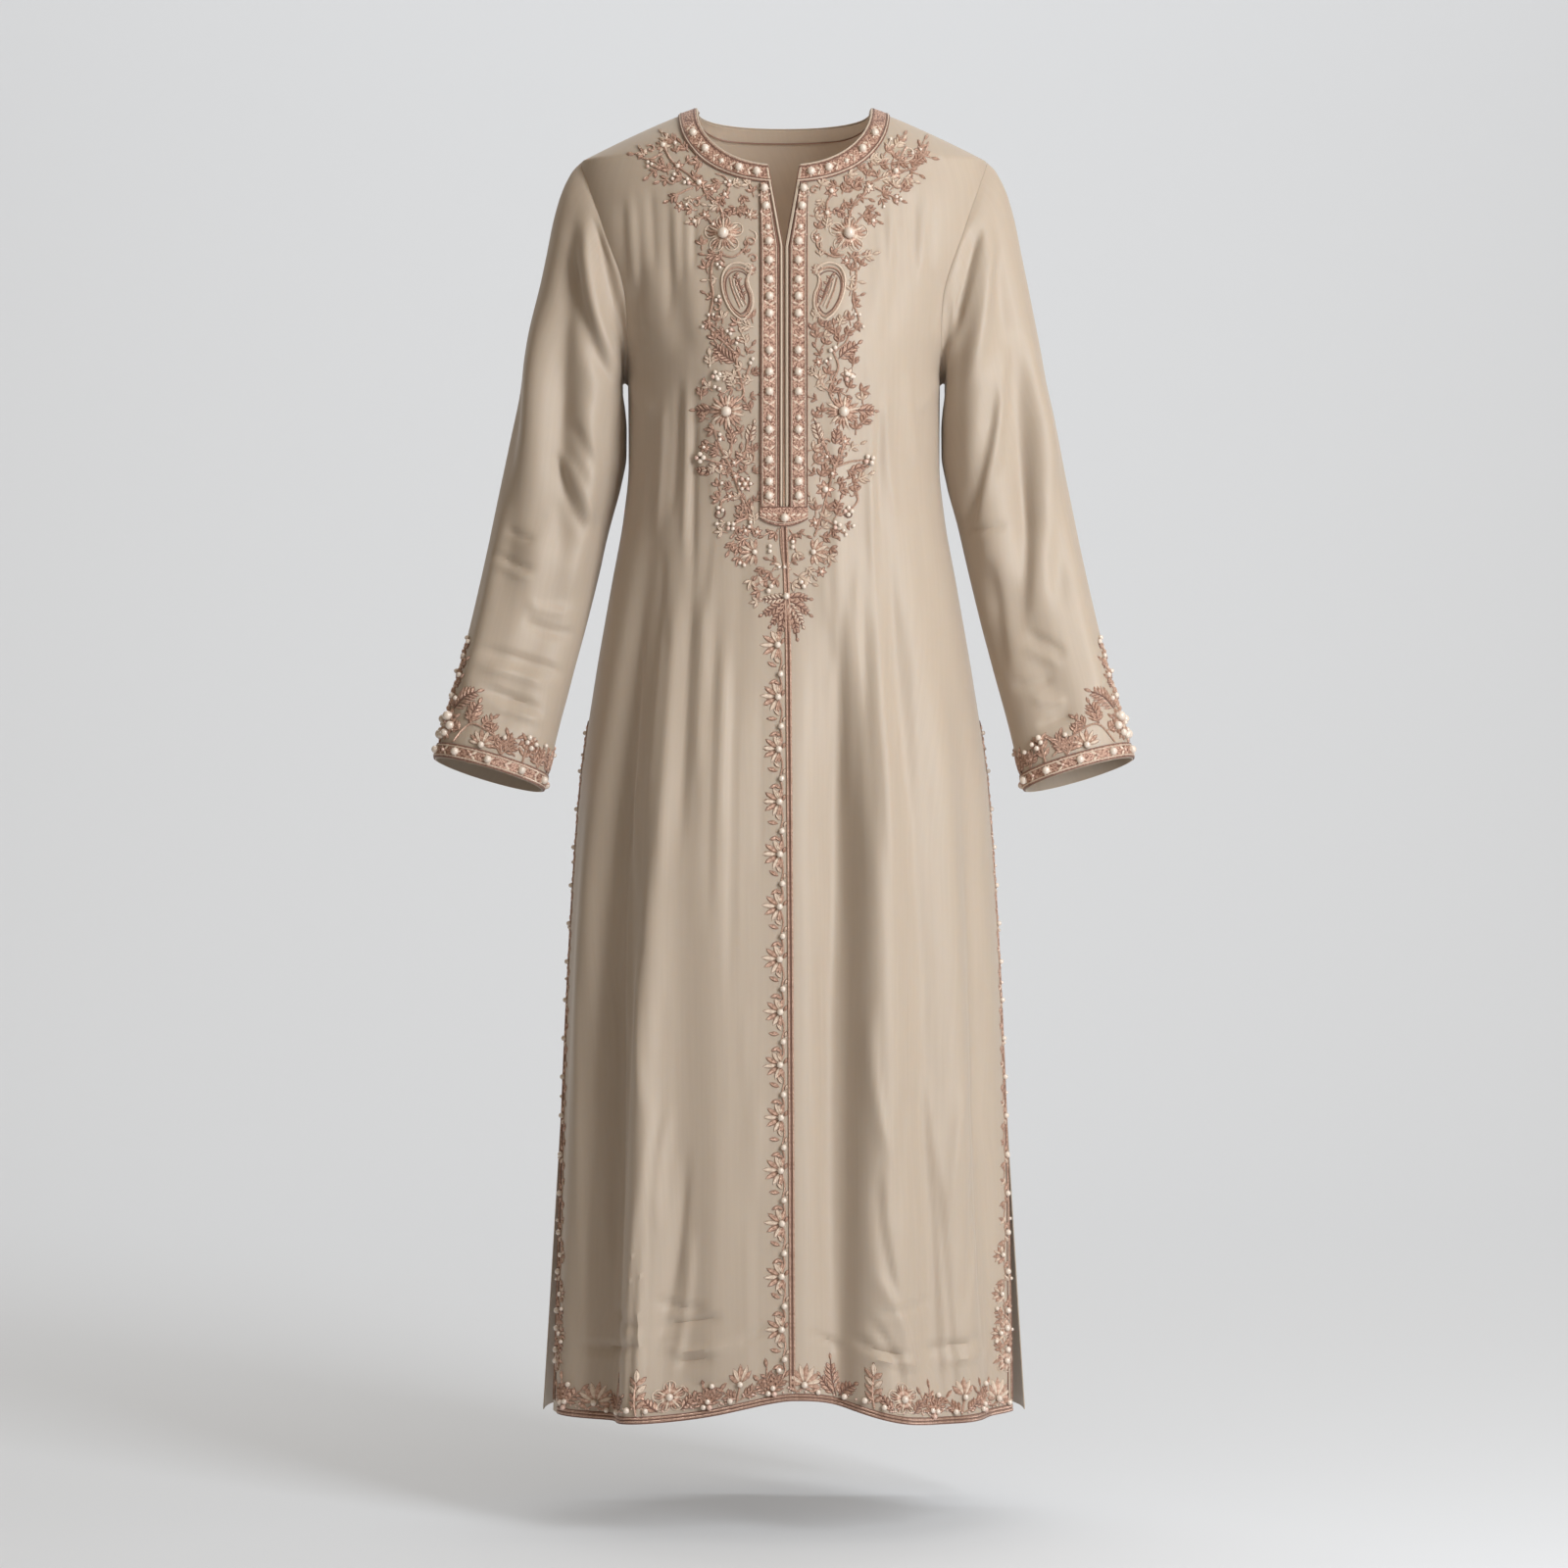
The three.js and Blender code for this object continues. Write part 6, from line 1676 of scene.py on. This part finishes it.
def spike(work, rng, at, seed):
    stem(work, (at, HEM_LOW), (at - 1.5, HEM_LOW + 15), (at, HEM_LOW + 30))
    leafy_spike(work, at, HEM_LOW, (6, 13, 20, 27), 10.5, 4.4, pale_level=20)
    leaf(work, "pale", at, HEM_LOW + 30, 90, 12, 5)
    work.bead(at - 8, HEM_LOW + 5, 3.0)
    work.bead(at + 8, HEM_LOW + 4, 2.8)


def rose_bush(work, rng, at, seed):
    rose(work, at, HEM_LOW + 15, 14.5, rng.uniform(0, 60), 3.6, seed)
    for hand in (-1, 1):
        feather(work, at + hand * 10, HEM_LOW + 2, 90 - hand * 42, 17, 10)


def tulip(work, rng, at, seed):
    fan(work, at, HEM_LOW + 16, 90, 90, 5, 16, 2.8)
    stem(work, (at - 3, HEM_LOW), (at, HEM_LOW + 16))
    sprig(work, at, HEM_LOW + 2, 145, 18, 3, 8)
    sprig(work, at, HEM_LOW + 2, 35, 18, 3, 8, None, -8)
    work.bead(at - 9, HEM_LOW + 3, 2.8)


# The border's plants in their order, each with the width it takes.
HEM_PLANTS = ((bush, 30), (half_flower, 31), (branch, 31), (spike, 27), (rose_bush, 34), (bush, 30),
              (tulip, 29))


def hem_embroidery():
    """Edge cords and a border of small plants round the front hem."""
    work = Work(hem_place)
    s = np.linspace(-HEM_REACH, HEM_REACH, 300)
    for up, thread, radius in ((0.3, "dark", 0.7), (1.7, "thread", 1.0), (3.2, "dark", 0.6),
                               (4.7, "thread", 1.0), (6.1, "dark", 0.6)):
        cord(work, thread, line_of(s, up), radius, height=radius * 0.8)
    rng = random.Random(21)
    at, n = 12 - HEM_REACH, 0
    while at < HEM_REACH - 8:
        plant, wide = HEM_PLANTS[n % len(HEM_PLANTS)]
        plant(work, rng, at, n)
        at += wide
        n += 1
    for _ in range(150):
        place = rng.uniform(-HEM_REACH, HEM_REACH), 8 + rng.uniform(0, 6)
        work.bead(*place, rng.uniform(0.8, 1.2), "rose")
    return work


def slit_embroidery(side):
    """The edging of one side slit: edge cords and a vine that widens towards the hem."""
    work = Work(edge_place(side))
    top, bottom = SIDE_SLIT_TOP + 8, -1215
    z = np.linspace(top, bottom, 260)
    for inward, thread, radius in ((1.4, "dark", 0.7), (3.4, "thread", 0.7), (8.6, "dark", 0.6)):
        cord(work, thread, line_of(inward, z), radius, height=radius * 0.7)
    rng = random.Random(31 + side)
    at, n = top - 6, 0
    while at > bottom + 40:
        share = (top - at) / (top - bottom)
        wide = lerp(8, 21, share ** 1.6)
        hand = 1 if n % 2 else -1
        middle = 8 + wide * 0.4
        stem(work, (middle - hand, at), (middle + hand * 2, at - 9), (middle - hand, at - 18), radius=0.55)
        leaf(work, "thread", middle, at - 3, 90 - hand * 50, 5 + wide * 0.35, 2.8)
        leaf(work, "pale" if n % 3 else "thread", middle, at - 9, -90 + hand * 50, 5 + wide * 0.35, 2.8)
        leaf(work, "thread", middle + 1, at - 13, 20 * hand, 4 + wide * 0.4, 2.6)
        if n % 2 == 0:
            work.bead(middle + hand * wide * 0.2, at - 6, 2.2 + share * 0.9)
        if n % 3 == 1:
            work.bead(2.2, at - rng.uniform(2, 14), 1.7)
        if share > 0.72 and n % 2:
            fan(work, middle + 5, at - 8, 10 + rng.uniform(-20, 20), 150, 6, 9, 2.4)
        at -= 18
        n += 1
    for at, reach in ((-1178, 11), (-1148, 9)):
        rose(work, 13, at, reach, 30, 3.0, 41)
        sprig(work, 18, at + 6, 60, 15, 2, 6.5, 2.0)
        sprig(work, 8, at + 10, 100, 14, 2, 6.0)
    return work


# ------------------------------------------------------------------ cuffs and back neck
CUFF_LOW = CUFF["inset"]  # the band's lower and upper edge
CUFF_HIGH = CUFF["inset"] + CUFF["width"]
# Round the sleeve from its outer line; the sprays beside the climbing vine, each with its kind.
CUFF_SPRAYS = ((12, "sprigs"), (84, "sprigs"), (104, "spike"), (122, "sprigs"), (140, "feathers"),
               (160, "sprigs"), (182, "fan"), (204, "sprigs"), (226, "feathers"), (248, "cluster"),
               (270, "sprigs"))


def cuff_ring(v):
    return line_of(np.linspace(0, CUFF["girth"], 181), v)


def cuff_band(work):
    """The couched band with its cords, its pearls and the leaves between them."""
    ribbon(work, "ground", cuff_ring(CUFF_LOW), cuff_ring(CUFF_HIGH), BAND_HEIGHT)
    cord(work, "dark", cuff_ring(CUFF_LOW + 0.2), 0.8, height=EDGE_HEIGHT)
    for v in (CUFF_LOW + 1.8, CUFF_HIGH - 1.8):
        cord(work, "pale", cuff_ring(v), 0.6, height=2.0)
    cord(work, "dark", cuff_ring(CUFF_HIGH), 0.8, height=EDGE_HEIGHT)
    pitch = CUFF["girth"] / CUFF["pearls"]
    middle = (CUFF_LOW + CUFF_HIGH) / 2
    for n in range(CUFF["pearls"]):
        at = (n + 0.5) * pitch
        band_pearl(work, at, middle, 3.7, n * 13)
        for tone, heading in (("thread", 180), ("pale", 0)):
            for hand in (-1, 1):
                band_leaf(work, tone, at + pitch / 2, middle, heading + hand * 42, 7, 2.6)
        work.bead(at + pitch / 2, middle, 1.5, "rose", -1.0)


def cuff_front(work):
    """The large spray that faces the front, with its beaded stars."""
    stem(work, (38, CUFF_HIGH + 2), (52, CUFF_HIGH + 22), (74, CUFF_HIGH + 17), (96, CUFF_HIGH + 4))
    for x, up, angle in ((44, 14, 150), (52, 22, 100), (62, 21, 55), (74, 17, 110), (84, 12, 40),
                         (90, 8, 110)):
        sprig(work, x, CUFF_HIGH + up, angle, 13, 2, 8)
    feather(work, 28, CUFF_HIGH + 34, 40, 30, 17)
    feather(work, 50, CUFF_HIGH + 22, 78, 22, 15)
    fan(work, 66, CUFF_HIGH + 5, 90, 165, 8, 13, 3.2)
    for x, up, bead in ((24, 26, 4.6), (31, 17, 4.0), (25, 10, 3.6), (108, 16, 2.6), (103, 20, 2.4),
                        (112, 21, 2.4)):
        star(work, x, CUFF_HIGH + up, bead, bead * 2.0)


def cuff_inside(work):
    """The stitches and the piping that finish the cuff on the inside."""
    cord(work, "dark", cuff_ring(17), 0.5, height=-CLOTH - 0.5)
    cord(work, "piping", cuff_ring(18.5), 0.7, height=-CLOTH - 0.4)


def cuff_spray(work, rng, at, kind):
    foot = CUFF_HIGH + 1
    if kind == "sprigs":
        for angle in (55, 90, 125):
            sprig(work, at, foot, angle + rng.uniform(-8, 8), rng.uniform(16, 23), 3, 8,
                  2.3 if angle == 90 else None)
    elif kind == "feathers":
        feather(work, at, foot, 62 + rng.uniform(-8, 8), 28, 13)
        feather(work, at, foot, 112, 21, 11)
    elif kind == "fan":
        fan(work, at, foot + 5, 90, 170, 8, 13, 3.0)
    elif kind == "cluster":
        stem(work, (at, foot), (at + 1, foot + 11))
        cluster(work, at + 1, foot + 13, 5, 2.3, 4.0)
        sprig(work, at, foot, 50, 17, 3, 8)
        sprig(work, at, foot, 135, 17, 3, 8)
    else:
        stem(work, (at, CUFF_HIGH), (at, CUFF_HIGH + 20))
        leafy_spike(work, at, CUFF_HIGH, (6, 13, 20), 10, 4)
        work.bead(at, CUFF_HIGH + 25, 2.8)


def cuff_vine(work):
    """The vine that climbs the outer line, smaller towards its tip."""
    line = curve([(12, CUFF_HIGH), (21, CUFF_HIGH + 22), (14, CUFF_HIGH + 44), (21, CUFF_HIGH + 66),
                  (15, CUFF_HIGH + 86), (18, CUFF["climb"])], 1.6)
    cord(work, "thread", line, 0.9)
    for n in range(10):
        x, z = line[int((n + 0.6) / 10.4 * (len(line) - 1))]
        hand = 1 if n % 2 else -1
        sprig(work, x, z, 90 - hand * 52, 17 - n * 0.6, 3, 8.5 - n * 0.2, 2.4 if n % 3 == 0 else None,
              8 * hand)
        leaf(work, "pale", x, z, 90 + hand * 48, 10 - n * 0.3, 4.2)
        leaf(work, "thread", x, z + 4, 90 + hand * 60, 9 - n * 0.3, 3.8)
        if n % 2 == 0:
            work.bead(x - hand * 5, z + 3, 3.3 - n * 0.12)
    for x, up, bead in ((-9, 12, 4.6), (-4, 26, 4.0)):
        star(work, x, CUFF_HIGH + up, bead, bead * 2.1)
    work.bead(18, CUFF["climb"] + 2, 2.4)


def cuff_embroidery(side):
    """The band round one cuff, sprays above it, and the vine that climbs the outer line."""
    work = Work(sleeve_place(side))
    cuff_band(work)
    cuff_front(work)
    cuff_inside(work)
    rng = random.Random(51 + side)
    for at, kind in CUFF_SPRAYS:
        cuff_spray(work, rng, at, kind)
    cuff_vine(work)
    return work


# ------------------------------------------------------------------ back neck facing
FACING = {"inset": 0.8, "depth": 18, "wall": 0.8, "first": 0.26, "last": 0.74, "rows": 9}
TOP_ROWS = slice(None, -14, -1)  # the back's rows from the neck edge down, past the facing's depth


def facing_line(depth):
    """Points and normals of the back's cloth at a depth under the neck edge, from side to side."""
    first, last = int(BACK_COLUMNS * FACING["first"]), int(BACK_COLUMNS * FACING["last"])
    points, normals = [], []
    for column in range(first, last + 1):
        line = BACK["outer"][TOP_ROWS, column]
        far = run_length(line)
        facing = BACK["normals"][TOP_ROWS, column]
        points.append([np.interp(depth, far, line[:, axis]) for axis in range(3)])
        normals.append([np.interp(depth, far, facing[:, axis]) for axis in range(3)])
    return np.array(points), unit(np.array(normals))


def facing_piece():
    """The strip that finishes the back neck on the inside; it ripples a little at its lower edge."""
    down = np.linspace(0, 1, FACING["rows"])
    rows = [facing_line(FACING["inset"] + FACING["depth"] * share) for share in down]
    points = np.array([row[0] for row in rows])
    normals = np.array([row[1] for row in rows])
    ripple = 0.5 * np.sin(np.arange(points.shape[1]) * 0.9)[None, :, None] ** 2
    outside = points - normals * (CLOTH + SEAM_GAP + ripple * down[:, None, None])
    wall = shell(outside, outside - normals * FACING["wall"])
    return mesh_object("back_neck_facing_cloth", *wall, CREPE)


def facing_stitches():
    """The line of stitches along the facing's lower edge, inside the back neck."""
    points, normals = facing_line(FACING["inset"] + FACING["depth"] - 1.6)
    points = points - normals * (CLOTH + SEAM_GAP + 0.5 + FACING["wall"])
    aside = unit(np.cross(np.gradient(points, axis=0), normals))
    turn = np.arange(6)[None, :, None] / 6 * 2 * np.pi
    rings = points[:, None] + 0.55 * (np.cos(turn) * normals[:, None] + np.sin(turn) * aside[:, None])
    faces = grid_faces(len(points), 6, closed=True)
    return mesh_object("back_neck_stitches", rings.reshape(-1, 3), faces, None, MATERIALS["dark"])


# ------------------------------------------------------------------ the embroidery laid on the cloth
for side, word in SIDE_NAME.items():
    neck = lay(f"neck_{word}", neck_embroidery(side))
    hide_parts(f"neckband_{word}")
    placket = lay(f"placket_{word}", placket_embroidery(side))
    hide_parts(f"placket_{word}")
    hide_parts(f"notch_piping_{word}")
    slit = lay(f"slit_{word}", slit_embroidery(side))
    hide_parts(f"slit_edging_{word}")
    cuff = lay(f"cuff_{word}", cuff_embroidery(side))
    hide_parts(f"cuff_band_{word}")
closing = lay("placket_closing", placket_end_embroidery())
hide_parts("placket_end")
yoke = lay("yoke", yoke_embroidery())
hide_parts("flower_right_upper", "flower_left_upper", "flower_right_lower",
            "flower_left_lower", "paisley_right", "paisley_left")
braid = lay("centre", centre_embroidery())
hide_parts("centre_braid")
border = lay("hem", hem_embroidery())
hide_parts("hem_border_right", "hem_border_left")
on_garment(facing_piece(), "crepe", "back_neck_facing")
on_garment(facing_stitches(), "embroidery_thread")


# ------------------------------------------------------------------ floor, light and camera
# Metres from here on, as in Blender.
FLOOR_Z = -1.334
STAGE_GREY = (0.540, 0.550, 0.573, 1)
BACKDROP_PAINTED_GLOW = 0.175  # painted light: a glow in the paper itself, which lightens the shadow on the floor and keeps it soft


def backdrop():
    """A plain floor from the front to where it curves up into a wall."""
    front, start, radius, top, half, steps = -3.4, 2.6, 2.4, 6.0, 7.0, 16
    profile = [(front, FLOOR_Z), (start, FLOOR_Z)]
    for i in range(1, steps + 1):
        angle = i / steps * math.pi / 2
        rise = radius * (1 - math.cos(angle))
        profile.append((start + radius * math.sin(angle), FLOOR_Z + rise))
    profile.append((start + radius, top))
    points = [(x / MM, y / MM, z / MM) for y, z in profile for x in (-half, half)]
    faces = np.array([[2 * i, 2 * i + 1, 2 * i + 3, 2 * i + 2] for i in range(len(profile) - 1)])
    material, _, shader = new_material("backdrop_paper")
    set_sockets(shader, Base_Color=STAGE_GREY, Roughness=0.9, Specular_IOR_Level=0.1)
    # The paper glows though it is no lamp: painted light that lifts the shadow under the garment.
    set_sockets(shader, Emission_Color=(0.975, 0.990, 1.0, 1), Emission_Strength=BACKDROP_PAINTED_GLOW)
    mesh_object("backdrop", points, faces, None, material, sharp=180)


def softbox(name, place, aim, size, power, colour):
    data = bpy.data.lights.new(name, "AREA")
    data.shape = "RECTANGLE"
    data.size, data.size_y = size
    data.energy = power
    data.color = colour
    lamp = bpy.data.objects.new(name, data)
    lamp.location = place
    lamp.rotation_euler = (Vector(aim) - Vector(place)).to_track_quat("-Z", "Y").to_euler()
    bpy.context.scene.collection.objects.link(lamp)


def studio_world():
    """A dim, warm light from everywhere."""
    world = bpy.data.worlds.new("studio")
    world.use_nodes = True
    set_sockets(world.node_tree.nodes["Background"], Color=(1.0, 0.82, 0.59, 1), Strength=0.27)
    bpy.context.scene.world = world


VIEW = {"width": 1.490, "distance": 4.0, "height": -0.640, "sensor_mm": 36}  # width at the garment's middle


def front_camera():
    data = bpy.data.cameras.new("camera")
    data.sensor_width = VIEW["sensor_mm"]
    data.lens = VIEW["sensor_mm"] * VIEW["distance"] / VIEW["width"]
    data.dof.use_dof = False
    camera = bpy.data.objects.new("camera", data)
    camera.location = (0, -VIEW["distance"], VIEW["height"])
    camera.rotation_euler = (math.radians(90), 0, 0)
    bpy.context.scene.collection.objects.link(camera)
    bpy.context.scene.camera = camera


MIDDLE = (0, 0, -0.6)
backdrop()
softbox("key", (1.55, -1.95, 0.15), MIDDLE, (0.8, 1.9), 72, (0.925, 0.968, 1.0))
softbox("top", (1.1, -0.9, 1.95), MIDDLE, (3.4, 2.8), 25, (1.0, 0.98, 0.95))
softbox("neck_glow", (0.0, 0.01, -0.44), (0.0, 0.03, 0.0), (0.16, 0.08), 0.5, (1.0, 0.90, 0.80))
softbox("wall", (0.0, 2.4, 3.2), (0.0, 4.6, -0.6), (6.0, 1.2), 124, (0.93, 0.97, 1.0))
studio_world()
front_camera()
bpy.context.scene.view_settings.view_transform = "Standard"
bpy.context.scene.view_settings.look = "None"
